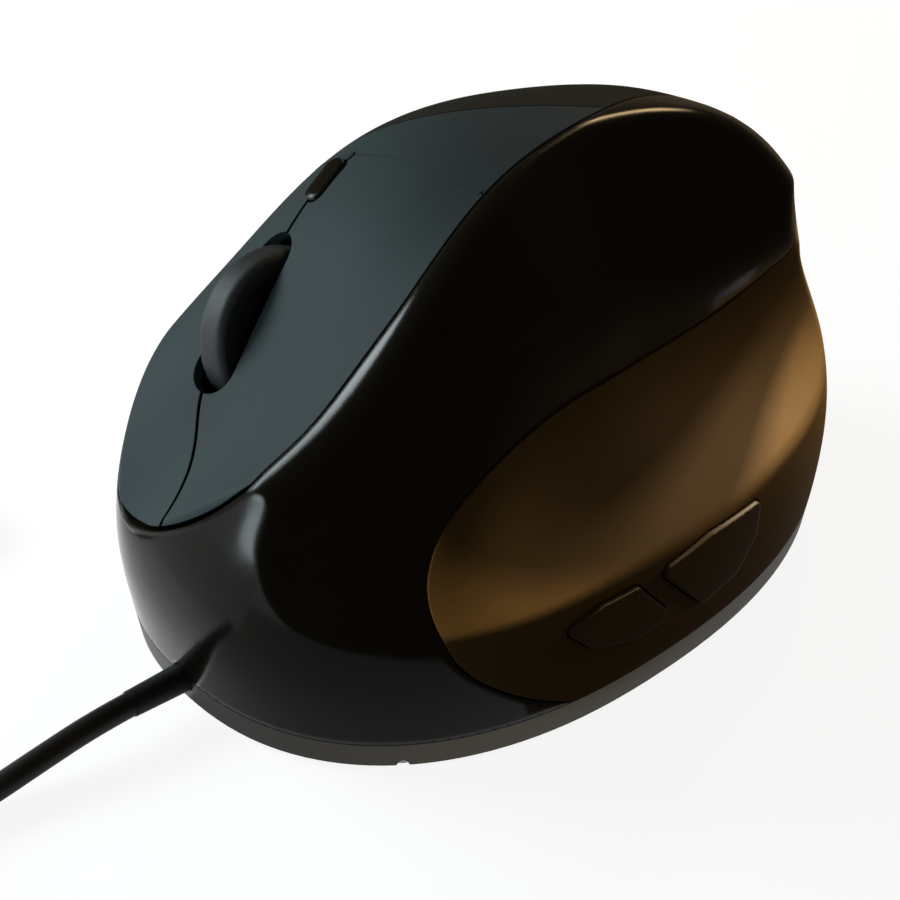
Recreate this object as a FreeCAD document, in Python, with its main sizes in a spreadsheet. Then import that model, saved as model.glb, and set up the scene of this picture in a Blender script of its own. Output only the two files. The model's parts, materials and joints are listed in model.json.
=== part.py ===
# Right-handed upright computer mouse with a cord, as the assembly that comes apart on a bench.
# Millimetres, +Z up. The cord leaves to -Y, the thumb side is +X, the fingers lie on the -X slope.
# The origin is the middle of the footprint on the desk.
import FreeCAD, Part
import math
import os
import re
import Sketcher
import time

V = FreeCAD.Vector
X_AXIS = V(1, 0, 0)
Y_AXIS = V(0, 1, 0)
Z_AXIS = V(0, 0, 1)
FAR = 150.0

# Driving dimensions: name, value in millimetres or degrees, what it sets
SIZES = [
    ("body_length", 121.6, "outside length of the housing"),
    ("body_width", 81.2, "outside width of the housing"),
    ("body_height", 74.4, "outside height of the housing"),
    ("shell_wall", 2.2, "wall of the moulded shells"),
    ("ridge_radius", 5.0, "rounding of the ridge between palm and thumb side"),
    ("crease_radius", 3.0, "rounding below the thumb rest"),
    ("skirt_radius", 2.0, "rounding where the top meets the side wall"),
    ("ledge", 1.3, "ledge under the palm shell"),
    ("boss_height", 9.0, "screw bosses of the housing"),
    ("seam_gap", 0.35, "gap between neighbouring shells"),
    ("key_gap", 0.62, "gap between the two main keys"),
    ("front_gap", 0.9, "gap under the free front edge of the main keys"),
    ("foot_height", 0.6, "glide feet below the base"),
    ("base_top", 5.2, "parting line of base and housing"),
    ("base_floor", 2.0, "floor of the base"),
    ("parting_gap", 0.2, "gap at the parting line"),
    ("key_hinge_y", -12.4, "line where the two main keys bend"),
    ("wheel_x", -16.8, "middle of the wheel slot, across"),
    ("wheel_y", -35.0, "middle of the wheel slot, along"),
    ("wheel_pitch", 46.0, "slope of the wheel slot, degrees"),
    ("wheel_tilt", 16.0, "lean of the wheel axle, degrees"),
    ("wheel_radius", 12.5, "scroll wheel over the tyre"),
    ("wheel_proud", 5.0, "wheel above the keys"),
    ("tyre_width", 6.0, "rubber tyre"),
    ("tyre_depth", 3.0, "rubber tyre, radially"),
    ("tread_round", 2.4, "rounding of the tread"),
    ("hub_web", 1.6, "disc of the hub"),
    ("hub_rim", 1.6, "rim of the hub under the tyre"),
    ("hub_boss", 2.8, "radius of the hub boss"),
    ("hub_boss_length", 4.8, "hub boss to each side of the middle"),
    ("axle_radius", 1.5, "steel axle of the wheel"),
    ("axle_play", 0.06, "running clearance of the axle"),
    ("slot_length", 26.0, "opening for the wheel"),
    ("slot_width", 8.4, "opening for the wheel"),
    ("cradle_wall", 1.4, "cheeks of the wheel cradle"),
    ("cradle_inside", 10.0, "space between the cheeks"),
    ("cradle_floor_drop", 13.4, "top of the cradle floor below the axle"),
    ("key_board_drop", 19.0, "top of the slanted board below the axle"),
    ("board_thickness", 1.6, "circuit boards"),
    ("tact_side", 6.0, "tact switch body"),
    ("tact_height", 3.5, "tact switch body"),
    ("tact_bore", 1.9, "radius of the opening in a tact switch"),
    ("plunger_radius", 1.65, "actuator of a tact switch"),
    ("plunger_reach", 1.4, "actuator inside the switch at rest"),
    ("pusher_gap", 0.7, "from a tact switch to the part that pushes its actuator"),
    ("snap_length", 12.8, "micro switch body"),
    ("snap_width", 5.8, "micro switch body"),
    ("snap_height", 6.5, "micro switch body"),
    ("snap_offset", 13.0, "micro switches left and right of the wheel"),
    ("snap_place", -6.0, "micro switches along the slope"),
    ("post_gap", 0.8, "from a micro switch to the post of its key"),
    ("rate_place", 22.4, "rate button behind the wheel, along the slope"),
    ("rate_offset", 1.1, "rate button, across"),
    ("rate_length", 7.6, "rate button cap"),
    ("rate_width", 3.4, "rate button cap"),
    ("rate_proud", 0.8, "rate button above the keys"),
    ("button_gap", 0.3, "gap round the small buttons"),
    ("thumb_button_proud", 0.8, "side buttons above the thumb panel"),
    ("thumb_board_inset", 9.0, "face of the side board from the side of the body"),
    ("main_board_length", 52.0, "board on the base"),
    ("main_board_width", 46.0, "board on the base"),
    ("main_board_z", 8.0, "underside of the board on the base"),
    ("sensor_y", 8.0, "optical sensor along the body"),
    ("screw_radius", 1.1, "screws"),
    ("screw_head", 2.1, "screw head radius"),
    ("cord_radius", 1.85, "cord"),
    ("cord_exit_x", -0.5, "cord exit across"),
    ("cord_exit_z", 4.6, "cord exit above the desk"),
    ("cord_exit_y", -59.0, "face of the housing at the cord"),
    ("relief_radius", 2.2, "strain relief at the housing"),
    ("relief_tip", 1.98, "radius of the strain relief at its end"),
    ("relief_length", 9.0, "strain relief outside the housing"),
    ("relief_flange", 3.0, "radius of the flange that holds the strain relief"),
    ("coil_radius", 30.5, "outer turn of the put-away cord"),
    ("coil_pitch", 4.14, "step from turn to turn and layer to layer"),
    ("coil_lift", 2.95, "middle of the lowest turn above the desk"),
    ("coil_y", -128.0, "middle of the coil along the body"),
    ("cord_end_x", 0.7, "where the cord meets the coil, across"),
    ("tie_width", 6.0, "tie round the coil"),
    ("tie_wall", 0.7, "tie round the coil"),
    ("plug_length", 26.0, "moulded grip of the plug"),
    ("plug_width", 14.5, "moulded grip of the plug"),
    ("plug_height", 8.0, "moulded grip of the plug"),
    ("contact_width", 12.0, "metal shell of the plug"),
    ("contact_height", 4.5, "metal shell of the plug"),
    ("contact_length", 14.5, "metal shell of the plug"),
    ("contact_wall", 0.4, "metal shell of the plug"),
]
NAMES = [row[0] for row in SIZES]

doc = FreeCAD.newDocument("upright_mouse")
sheet = doc.addObject("Spreadsheet::Sheet", "Sizes")
for row, (name, value, note) in enumerate(SIZES, 1):
    sheet.set("A%d" % row, name)
    sheet.set("B%d" % row, str(value))
    sheet.setAlias("B%d" % row, name)
    sheet.set("C%d" % row, note)
doc.recompute()

NODES = []


def size(name):
    return float(sheet.get(name))


def expression(text):
    # Alias words in a formula become references to the sheet
    return re.sub(r"[a-z][a-z0-9_]*",
                  lambda word: "Sizes." + word.group() if word.group() in NAMES else word.group(),
                  str(text))


def bind(item, **formulas):
    for prop, text in formulas.items():
        item.setExpression(prop.replace("__", "."), expression(text))
    return item


def place(item, x="0", y="0", z="0"):
    return bind(item, Placement__Base__x=x, Placement__Base__y=y, Placement__Base__z=z)


def block(name, length, width, height, x="0", y="0", z="0"):
    item = doc.addObject("Part::Box", name)
    bind(item, Length=length, Width=width, Height=height)
    return place(item, x, y, z)


def rod(name, radius, height, x="0", y="0", z="0", turn=None):
    item = doc.addObject("Part::Cylinder", name)
    bind(item, Radius=radius, Height=height)
    if turn is not None:
        item.Placement = FreeCAD.Placement(V(), turn)
    return place(item, x, y, z)


def union(name, items):
    item = doc.addObject("Part::MultiFuse", name)
    item.Shapes = items
    return item


def carve(name, solids, cutters):
    base = solids[0] if len(solids) == 1 else union(name + "_solid", solids)
    tool = cutters[0] if len(cutters) == 1 else union(name + "_space", cutters)
    item = doc.addObject("Part::Cut", name)
    item.Base = base
    item.Tool = tool
    return item


def plain(name, shape):
    item = doc.addObject("Part::Feature", name)
    item.Shape = shape
    return item


def node(item, label, frame=None):
    item.Label = label
    if frame is not None:
        item.Placement = frame
    NODES.append(item)
    return item


ALONG_X = FreeCAD.Rotation(Y_AXIS, 90)
ALONG_Y = FreeCAD.Rotation(X_AXIS, -90)


def origin_plane(body, role):
    return [item for item in body.Origin.OriginFeatures if item.Role == role][0]


def outline(body, name, plane, points):
    # A closed polygon sketch whose corners are held by formulas on the sheet
    sketch = body.newObject("Sketcher::SketchObject", name)
    sketch.AttachmentSupport = [(origin_plane(body, plane), "")]
    sketch.MapMode = "FlatFace"
    start = [V(worth(x), worth(y), 0) for x, y in points]
    count = len(points)
    for i in range(count):
        sketch.addGeometry(Part.LineSegment(start[i], start[(i + 1) % count]))
    for i in range(count):
        sketch.addConstraint(Sketcher.Constraint("Coincident", i, 2, (i + 1) % count, 1))
    for i, (x, y) in enumerate(points):
        for kind, text, now in (("DistanceX", x, start[i].x), ("DistanceY", y, start[i].y)):
            index = sketch.addConstraint(Sketcher.Constraint(kind, -1, 1, i, 1, now))
            sketch.setExpression("Constraints[%d]" % index, expression(text))
    return sketch


def worth(text):
    # The present value of a formula, read through a cell of the sheet
    sheet.set("E1", "=" + str(text))
    sheet.recompute()
    return float(sheet.get("E1"))


def turned(name, points):
    # A body turned about its own X axis from (place along the axis, radius) corners
    body = doc.addObject("PartDesign::Body", name)
    sketch = outline(body, name + "_profile", "XY_Plane", points)
    doc.recompute()
    feature = body.newObject("PartDesign::Revolution", name + "_turned")
    feature.Profile = sketch
    feature.ReferenceAxis = (sketch, ["H_Axis"])
    feature.Angle = 360
    doc.recompute()
    return body


def padded(name, points, height):
    # A body padded along +Z from a polygon in its XY plane
    body = doc.addObject("PartDesign::Body", name)
    sketch = outline(body, name + "_outline", "XY_Plane", points)
    doc.recompute()
    feature = body.newObject("PartDesign::Pad", name + "_pad")
    feature.Profile = sketch
    bind(feature, Length=height)
    doc.recompute()
    return body


def rounded(body, radius, pick):
    # A fillet on the edges of the body's tip that pick() chooses
    base = body.Tip
    names = ["Edge%d" % i for i, edge in enumerate(base.Shape.Edges, 1) if pick(edge)]
    feature = body.newObject("PartDesign::Fillet", base.Name + "_round")
    feature.Base = (base, names)
    bind(feature, Radius=radius)
    doc.recompute()
    return body


# Housing form. The station tables are drawn for one body and stretch to the sheet's sizes
DRAWN_LENGTH = 121.6
DRAWN_WIDTH = 81.2
DRAWN_HEIGHT = 74.4


def across(x):
    return x * size("body_width") / DRAWN_WIDTH


def along(y):
    return y * size("body_length") / DRAWN_LENGTH


def up(z):
    return z * size("body_height") / DRAWN_HEIGHT


# Side wall: height, half width, front end, rear end, fullness of the egg
WALL_LEVELS = [
    (-6, 38.8, -57.2, 59.0, 2.25),
    (0, 39.4, -58.2, 60.0, 2.25),
    (5, 39.9, -59.0, 60.4, 2.28),
    (18, 40.4, -60.8, 60.8, 2.3),
    (32, 39.4, -58.4, 57.2, 2.3),
    (46, 36.8, -54.0, 51.5, 2.28),
    (60, 33.5, -49.5, 48.5, 2.25),
    (84, 27.0, -42.0, 40.0, 2.25),
]
EGG_TAPER = -0.075

# Finger and palm surface: heights across the body at each station along it
TOP_ACROSS = [55, 24, 12, 0, -12, -22, -31, -37, -42]
TOP_STATIONS = [
    (-66, [60, 42, 34, 27.5, 22, 19, 14, 7, -3]),
    (-54, [68, 51, 44.5, 37, 30.5, 27.5, 24, 18, 6]),
    (-40, [74, 61, 56, 50.5, 45.5, 43, 38, 29, 12]),
    (-24, [80, 73, 69, 66.5, 62.5, 57.5, 49.5, 39, 16]),
    (-6, [84, 77, 74.0, 73.5, 71.5, 67.0, 58.5, 46, 19]),
    (14, [82, 76, 75, 73.5, 71, 66, 56, 43, 15]),
    (30, [72, 69, 72, 70.5, 67, 60.5, 49, 35, 8]),
    (42, [58, 55, 63.5, 63.5, 60, 52.5, 40, 25, -3]),
    (54, [40, 38, 48, 50.5, 48, 39, 26, 11, -14]),
    (66, [20, 18, 28, 31, 29, 21, 9, -6, -26]),
]

# Thumb side with its rest: how far out the surface lies at each height
FLANK_HEIGHTS = [-20, 14, 24, 34, 44, 54, 64, 74, 90]
FLANK_STATIONS = [
    (-66, [60, 33, 18.5, 12.5, 10, 9.5, 9.5, 9, 8]),
    (-54, [64, 39.5, 24, 15.5, 12.2, 11.5, 11.2, 11, 9.5]),
    (-38, [70, 50, 35.5, 28, 23.5, 20.5, 17.5, 14, 7]),
    (-20, [74, 55, 41, 28, 25.5, 24, 20, 12, -4]),
    (0, [74, 57, 43, 26, 22.5, 22, 16.5, 7, -14]),
    (20, [74, 57, 42, 23, 20.5, 21.5, 17, 6, -18]),
    (38, [72, 55, 38, 21, 19.5, 23.5, 22, 11, -16]),
    (50, [66, 48, 31, 19, 17, 21, 22, 13, -14]),
    (66, [60, 42, 26, 17, 15, 19, 20, 13, -14]),
]
EGG_POINTS = 24


def spline(points, closed=False):
    curve = Part.BSplineCurve()
    curve.interpolate(points, PeriodicFlag=closed)
    return curve


def egg(level, inset):
    # One outline of the side wall: a superellipse, a little wider at the front
    z, half, front, rear, fullness = level
    half = across(half) - inset
    front = along(front) + inset
    rear = along(rear) - inset
    points = []
    for i in range(EGG_POINTS):
        angle = 2 * math.pi * i / EGG_POINTS
        c, s = math.cos(angle), math.sin(angle)
        u = math.copysign(abs(c) ** (2 / fullness), c)
        v = math.copysign(abs(s) ** (2 / fullness), s)
        points.append(V(half * u * (1 + EGG_TAPER * v), (front + rear) / 2 + (rear - front) / 2 * v, up(z)))
    return Part.Wire([spline(points, True).toShape()])


def shifted(curve, points, inset):
    # The same section moved inwards by the wall, square to the curve
    moved = []
    for point in points:
        run = curve.tangent(curve.parameter(point))[0]
        moved.append(point - V(run.z, 0, -run.x).normalize() * inset)
    return moved


def section(points, corners, inset):
    curve = spline(points)
    if inset:
        curve = spline(shifted(curve, points, inset))
    first, last = curve.StartPoint, curve.EndPoint
    path = [last] + corners + [first]
    lines = [Part.makeLine(a, b) for a, b in zip(path, path[1:])]
    return Part.Wire([curve.toShape()] + lines)


def wall_solid(inset):
    return Part.makeLoft([egg(level, inset) for level in WALL_LEVELS], True, False)


def top_solid(inset):
    wires = []
    for y, heights in TOP_STATIONS:
        points = [V(across(x), along(y), up(z)) for x, z in zip(TOP_ACROSS, heights)]
        floor = -0.8 * size("body_height")
        corners = [V(points[-1].x - inset, along(y), floor), V(points[0].x, along(y), floor)]
        wires.append(section(points, corners, inset))
    return Part.makeLoft(wires, True, False)


def flank_solid(inset):
    wires = []
    for y, reaches in FLANK_STATIONS:
        points = [V(across(x), along(y), up(z)) for x, z in zip(reaches, FLANK_HEIGHTS)]
        left = -0.86 * size("body_width")
        corners = [V(left, along(y), points[-1].z), V(left, along(y), points[0].z)]
        wires.append(section(points, corners, inset))
    return Part.makeLoft(wires, True, False)


def form(inset):
    return wall_solid(inset).common(top_solid(inset)).common(flank_solid(inset))


def rounded_form():
    # The outer form with its ridge, thumb crease and skirt line rounded
    body = plain("sharp_form", form(0))
    fillet = doc.addObject("Part::Fillet", "outer_form")
    fillet.Base = body
    edges = []
    for i, edge in enumerate(body.Shape.Edges, 1):
        box = edge.BoundBox
        if box.ZMax < up(1) or box.ZMin < up(-1) or box.XMin > across(38):
            continue
        if box.XMin < across(-30):
            radius = size("skirt_radius")
        elif box.ZMin > up(40):
            radius = size("ridge_radius")
        else:
            radius = size("crease_radius")
        edges.append((i, radius, radius))
    fillet.Edges = edges
    doc.recompute()
    return fillet.Shape


def prism(points, lines, direction):
    # A straight cutter: a curve through points, closed by straight lines, extruded both ways
    curve = spline(points)
    path = [points[-1]] + lines + [points[0]]
    wire = Part.Wire([curve.toShape()] + [Part.makeLine(a, b) for a, b in zip(path, path[1:])])
    face = Part.Face(wire)
    face.translate(direction * -FAR)
    return face.extrude(direction * (2 * FAR))


# Gloss seam in plan, from the cord end over the crest to the rear
GLOSS_SEAM = [(8.2, -70), (8.6, -58), (9.4, -51.6), (11.5, -47), (12.8, -39.6), (13.0, -31.3), (11.3, -23.1),
              (8.2, -13.1), (5.9, -3.9), (4.1, 5.2), (2.1, 15.3), (0.2, 26), (0.2, 38), (2, 52), (5, 75)]
# Front edge of the keys, seen from the front: across and height
FRONT_SEAM = [(-60, 26), (-30, 25.2), (-19.2, 25.0), (-14.5, 25.2), (-9.1, 27.2), (-4.7, 29.7), (0.6, 33.6),
              (6.3, 39.3), (9.2, 43), (14, 47), (30, 50)]
# Lower edge of the keys and the palm shell on the finger side: along and height
SIDE_SEAM = [(-75, 20.5), (-58, 23.6), (-45, 26.5), (-25, 29.5), (5, 32.5), (35, 34), (75, 34)]
# Seam between keys and palm shell in plan
PALM_SEAM = [(30, 38), (12, 25.5), (2, 17), (-4, 10.8), (-9, 4.2), (-14.5, -1.6), (-22, -6.6), (-30, -9.2),
             (-40, -10.2), (-60, -10.5)]
# Line between the two main keys in plan
SPLIT = [(-3.5, -70), (-5.0, -57.4), (-7.3, -51.9), (-10.8, -47.9), (-14.5, -44.2), (-17.0, -35), (-18.6, -26.1),
         (-19.9, -19.9), (-19.2, -12.4), (-18.6, 5)]
# Thumb panel seen from the side: along and height
THUMB_SEAM = [(38, 53), (30, 46), (17, 43.2), (-2, 43.7), (-13, 44), (-24, 42.5), (-32, 39), (-36.7, 35),
              (-39.3, 30.5), (-39.9, 25), (-38, 20), (-32, 13.5), (-24, 8), (-14, 3), (5, -3), (30, -6),
              (48, -3), (54, 6), (55, 20), (53.5, 34), (49, 47), (43.5, 54)]
# Side buttons seen from the side: along and height
FRONT_BUTTON = [(-22.8, 20.7), (-16.2, 22.6), (-9.4, 22.6), (-1.6, 13.4), (-9, 12.8), (-17.7, 15.6)]
REAR_BUTTON = [(-5.2, 22.8), (6, 24.0), (18.2, 23.4), (17.8, 17.4), (13.6, 12.6), (5.4, 11.4)]


def gloss_zone(gap):
    # All that lies on the finger side of the gloss seam
    points = [V(across(x) + gap, along(y), 0) for x, y in GLOSS_SEAM]
    return prism(points, [V(-FAR, points[-1].y, 0), V(-FAR, points[0].y, 0)], Z_AXIS)


def above_front(gap):
    points = [V(across(x), 0, up(z) - gap) for x, z in FRONT_SEAM]
    return prism(points, [V(points[-1].x, 0, FAR), V(points[0].x, 0, FAR)], Y_AXIS)


def above_side(gap):
    points = [V(0, along(y), up(z) - gap) for y, z in SIDE_SEAM]
    return prism(points, [V(0, points[-1].y, FAR), V(0, points[0].y, FAR)], X_AXIS)


def cover_zone(side, under):
    return gloss_zone(side).common(above_front(under)).common(above_side(under))


def palm_zone(shift):
    points = [V(across(x), along(y) + shift, 0) for x, y in PALM_SEAM]
    return prism(points, [V(points[-1].x, FAR, 0), V(points[0].x, FAR, 0)], Z_AXIS)


def left_zone(shift):
    # The thumb side of the line between the keys
    points = [V(across(x) + shift, along(y), 0) for x, y in SPLIT]
    return prism(points, [V(FAR, points[-1].y, 0), V(FAR, points[0].y, 0)], Z_AXIS)


def grown(points, gap):
    # A closed outline in the side view, moved outwards by gap
    curve = spline(points, True)
    moved = []
    for point in points:
        run = curve.tangent(curve.parameter(point))[0]
        moved.append(point + V(0, -run.z, run.y).normalize() * gap)
    return spline(moved, True)


def thumb_zone(gap):
    points = [V(0, along(y), up(z)) for y, z in THUMB_SEAM]
    face = Part.Face(Part.Wire([grown(points, -gap).toShape()]))
    face.translate(V(across(8), 0, 0))
    return face.extrude(X_AXIS * FAR)


def button_zone(corners, gap, round_corner):
    # A polygon prism through the thumb side with rounded corners
    points = [V(across(8), along(y), up(z)) for y, z in corners]
    wire = Part.Wire(Part.makePolygon(points + [points[0]]))
    if gap:
        wire = wire.makeOffset2D(gap, 2, False)
    solid = Part.Face(wire).extrude(X_AXIS * FAR)
    edges = [edge for edge in solid.Edges if edge.Length > FAR / 2]
    return solid.makeFillet(round_corner + max(gap, 0), edges)


def keep_largest(shape):
    return max(shape.Solids, key=lambda solid: solid.Volume)


def half_space(z, above):
    block_shape = Part.makeBox(2 * FAR, 2 * FAR, FAR, V(-FAR, -FAR, z if above else z - FAR))
    return block_shape


# The frame of the wheel: x along the axle to the thumb side, y up the slope, z out of the keys
WHEEL_TURN = (FreeCAD.Rotation(Y_AXIS, -size("wheel_tilt")).multiply(
    FreeCAD.Rotation(X_AXIS, size("wheel_pitch"))))


def surface_point(solid, x, y):
    line = Part.makeLine(V(x, y, size("base_top")), V(x, y, 2 * size("body_height")))
    hit = solid.common(line)
    return V(x, y, hit.BoundBox.ZMax)


OUTER = rounded_form()
INNER = form(size("shell_wall"))
SKIN = OUTER.cut(INNER)
OUT = WHEEL_TURN.multVec(Z_AXIS)
SLOT_MIDDLE = surface_point(OUTER, size("wheel_x"), size("wheel_y"))
WHEEL = FreeCAD.Placement(SLOT_MIDDLE - OUT * (size("wheel_radius") - size("wheel_proud")), WHEEL_TURN)


def in_wheel_frame(shape):
    shape.Placement = WHEEL.multiply(shape.Placement)
    return shape


def capsule(length, width, low, high, x=0.0, y=0.0):
    # A bar with round ends, its long way along y
    r = width / 2
    a = length / 2 - r
    right = Part.makeLine(V(r, -a, 0), V(r, a, 0))
    rear = Part.Arc(V(r, a, 0), V(0, a + r, 0), V(-r, a, 0)).toShape()
    left = Part.makeLine(V(-r, a, 0), V(-r, -a, 0))
    front = Part.Arc(V(-r, -a, 0), V(0, -a - r, 0), V(r, -a, 0)).toShape()
    face = Part.Face(Part.Wire([right, rear, left, front]))
    face.translate(V(x, y, low))
    return in_wheel_frame(face.extrude(V(0, 0, high - low)))


def local_box(length, width, low, high, x, y):
    return in_wheel_frame(Part.makeBox(length, width, high - low, V(x - length / 2, y - width / 2, low)))


def local_rod(radius, low, high, x, y):
    return in_wheel_frame(Part.makeCylinder(radius, high - low, V(x, y, low)))


WHEEL_SLOT = capsule(size("slot_length"), size("slot_width"), -6, 30)
RATE_Y = size("rate_place")
RATE_X = size("rate_offset")
RATE_SLOT = capsule(size("rate_length") + 2 * size("button_gap"), size("rate_width") + 2 * size("button_gap"),
                    -8, 30, RATE_X, RATE_Y)


def make_covers():
    # Keys, the strip they bend from, the palm shell and the main housing
    upper = SKIN.common(half_space(size("base_top") + size("parting_gap"), True))
    lid = upper.common(cover_zone(0, 0))
    half = size("seam_gap") / 2
    hinge_y = size("key_hinge_y")
    node(plain("palm_shell", keep_largest(lid.common(palm_zone(half)))), "palm_shell")
    front = lid.cut(palm_zone(-half))
    before = Part.makeBox(2 * FAR, FAR, 2 * FAR, V(-FAR, hinge_y - half - FAR, -FAR))
    behind = Part.makeBox(2 * FAR, FAR, 2 * FAR, V(-FAR, hinge_y + half, -FAR))
    cover = keep_largest(front.common(behind).cut(RATE_SLOT))
    node(plain("top_cover", cover), "top_cover")
    keys = front.common(before).cut(WHEEL_SLOT).cut(RATE_SLOT)
    inside = form(size("shell_wall") / 2)
    half = size("key_gap") / 2
    left = keep_largest(keys.common(left_zone(half)))
    right = keep_largest(keys.cut(left_zone(-half)))
    node(plain("left_button", with_post(left, 1, inside)), "left_button")
    node(plain("right_button", with_post(right, -1, inside)), "right_button")
    return upper


def make_main_shell(upper):
    # The housing carries a ledge under the palm shell and the bosses of the screws
    body = upper.cut(cover_zone(size("seam_gap"), size("front_gap"))).cut(thumb_zone(size("seam_gap")))
    body = keep_largest(body.cut(cord_hole()))
    ledge = INNER.cut(form(size("shell_wall") + size("ledge"))).cut(
        Part.makeBox(2 * FAR, 2 * FAR, 2 * FAR, V(-FAR, size("key_hinge_y") + 3 - 2 * FAR, -FAR)))
    ledge = ledge.common(cover_zone(2.2, 2.2)).cut(cover_zone(-2.4, -2.4))
    bosses = [screw_boss(x, y) for x, y in SHELL_SCREWS]
    holes = [Part.makeCylinder(size("screw_radius"), 13, V(x, y, 0)) for x, y in SHELL_SCREWS]
    body = keep_largest(body.fuse([ledge] + bosses)).cut(holes)
    node(plain("main_shell", body), "main_shell")


def screw_boss(x, y):
    # A boss that grows out of the side wall, from the parting line up
    low = size("base_top") + size("parting_gap")
    return Part.makeCylinder(3.0, size("boss_height"), V(x, y, low)).common(MIDDLE_WALL)


def with_post(key, side, inside):
    # The post under a key that reaches down to its micro switch
    low = size("snap_height") - size("key_board_drop") + size("post_gap")
    post = local_box(3.2, 6.0, low, 30, side * size("snap_offset"), size("snap_place"))
    return keep_largest(key.fuse(post.common(inside)))


def cord_hole():
    # Notch and flange pocket of the strain relief, shared by housing and base
    x, y, z = size("cord_exit_x"), size("cord_exit_y"), size("cord_exit_z")
    notch = Part.makeCylinder(size("relief_radius") + 0.15, 12, V(x, y - 6, z), Y_AXIS)
    pocket = Part.makeCylinder(size("relief_flange") + 0.15, 1.8, V(x, y + 2.6, z), Y_AXIS)
    return notch.fuse(pocket)


def make_thumb_side(upper):
    gap = size("button_gap")
    panel = upper.common(thumb_zone(0))
    panel = panel.cut(button_zone(FRONT_BUTTON, gap, 1.2)).cut(button_zone(REAR_BUTTON, gap, 1.2))
    x, y = THUMB_SCREW
    hole = Part.makeCylinder(size("screw_radius"), 13, V(x, y, 0))
    panel = keep_largest(keep_largest(panel).fuse(screw_boss(x, y))).cut(hole)
    node(plain("thumb_panel", panel), "thumb_panel")
    wall = size("shell_wall")
    proud = wall_solid(-size("thumb_button_proud"))
    deep = wall_solid(wall + gap + 1.0)
    flange = wall_solid(wall + gap).common(flank_solid(wall + gap)).cut(deep)
    stem_x = THUMB_FACE + size("tact_height") + size("pusher_gap")
    for label, corners, middle in (("side_button_front", FRONT_BUTTON, THUMB_SWITCHES[0]),
                                   ("side_button_rear", REAR_BUTTON, THUMB_SWITCHES[1])):
        cap = proud.cut(deep).common(button_zone(corners, 0, 1.2))
        rim = flange.common(button_zone(corners, 1.2, 1.2))
        stem = Part.makeCylinder(2.0, FAR, V(stem_x, middle[0], middle[1]), X_AXIS).common(wall_solid(wall))
        node(plain(label, keep_largest(cap.fuse([rim, stem]))), label)


# Places in the plan of the screws that hold the base to the housing and to the thumb panel
SHELL_SCREWS = [(28.5, -42.0), (-28.5, -42.0), (-25.0, 42.0), (3.0, 54.0)]
THUMB_SCREW = (30.4, 31.0)
# Side switches: along and height
THUMB_SWITCHES = [(-12.0, 17.5), (8.5, 17.5)]
THUMB_FACE = size("body_width") / 2 - size("thumb_board_inset")
MIDDLE_WALL = wall_solid(size("shell_wall") / 2)
# Screws of the base board and of the frame that carries the slanted board
BOARD_SCREWS = [(-21.0, -11.0), (19.0, -11.0), (-21.0, 35.0), (19.0, 35.0)]
FRAME_SCREWS = [(-25.6, -28.0), (4.4, -28.0)]
KEY_BOARD_SCREWS = [(-13.0, -16.0), (12.4, 6.0)]


def make_base():
    # Tray with the posts of the boards, the window of the sensor and the notch of the cord
    low, top = size("foot_height"), size("base_top")
    floor = low + size("base_floor")
    wall = wall_solid(0)
    tray = wall.common(half_space(low, True)).common(half_space(top, False))
    tray = tray.cut(wall_solid(size("shell_wall")).common(half_space(floor, True)))
    adds = []
    for x, y in SHELL_SCREWS + [THUMB_SCREW]:
        adds.append(Part.makeCylinder(3.0, top - floor + 0.5, V(x, y, floor - 0.5)).common(MIDDLE_WALL))
    for x, y in BOARD_SCREWS:
        adds.append(Part.makeCylinder(2.6, size("main_board_z") - floor + 0.5, V(x, y, floor - 0.5)))
    for x, y in FRAME_SCREWS:
        adds.append(Part.makeCylinder(3.2, 6.0 - floor + 0.5, V(x, y, floor - 0.5)))
    for y in (-21.6, 19.6):
        adds.append(Part.makeBox(4.8, 4.0, 14 - floor + 0.5, V(THUMB_FACE - 3.2, y - 2, floor - 0.5)))
    tray = tray.fuse(adds)
    cuts = [cord_hole()]
    for x, y in SHELL_SCREWS + [THUMB_SCREW]:
        cuts.append(Part.makeCylinder(size("screw_radius") + 0.2, 20, V(x, y, 0)))
        cuts.append(Part.makeCylinder(size("screw_head") + 0.2, 1.4, V(x, y, low - 0.1)))
    for x, y in BOARD_SCREWS + FRAME_SCREWS:
        cuts.append(Part.makeCylinder(size("screw_radius"), 20, V(x, y, floor - 1.0)))
    thick = size("board_thickness")
    cuts.append(Part.makeBox(thick + 0.1, 43.0, 20, V(THUMB_FACE - thick - 0.05, -22.5, 8.8)))
    window = Part.makeBox(11, 8, 6, V(-5.5, size("sensor_y") - 4, -1))
    cuts.append(window.makeFillet(2.0, [e for e in window.Edges if abs(e.Length - 6) < 0.01]))
    tray = keep_largest(tray.cut(cuts))
    node(plain("base_plate", tray), "base_plate")


def make_feet():
    # Two crescents under the ends of the base, and a ring round the sensor window
    band = wall_solid(4.0).cut(wall_solid(12.0))
    slab = Part.makeBox(2 * FAR, 2 * FAR, size("foot_height"), V(-FAR, -FAR, 0))
    band = band.common(slab)
    front = band.common(Part.makeBox(2 * FAR, FAR, FAR, V(-FAR, -FAR + along(-38), -1)))
    rear = band.common(Part.makeBox(2 * FAR, FAR, FAR, V(-FAR, along(39), -1)))
    ring = Part.makeCylinder(11, size("foot_height"), V(0, size("sensor_y"), 0))
    ring = ring.cut(Part.makeCylinder(8, 5, V(0, size("sensor_y"), -1)))
    node(plain("glide_feet", Part.makeCompound(front.Solids + rear.Solids + ring.Solids)), "glide_feet")


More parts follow.
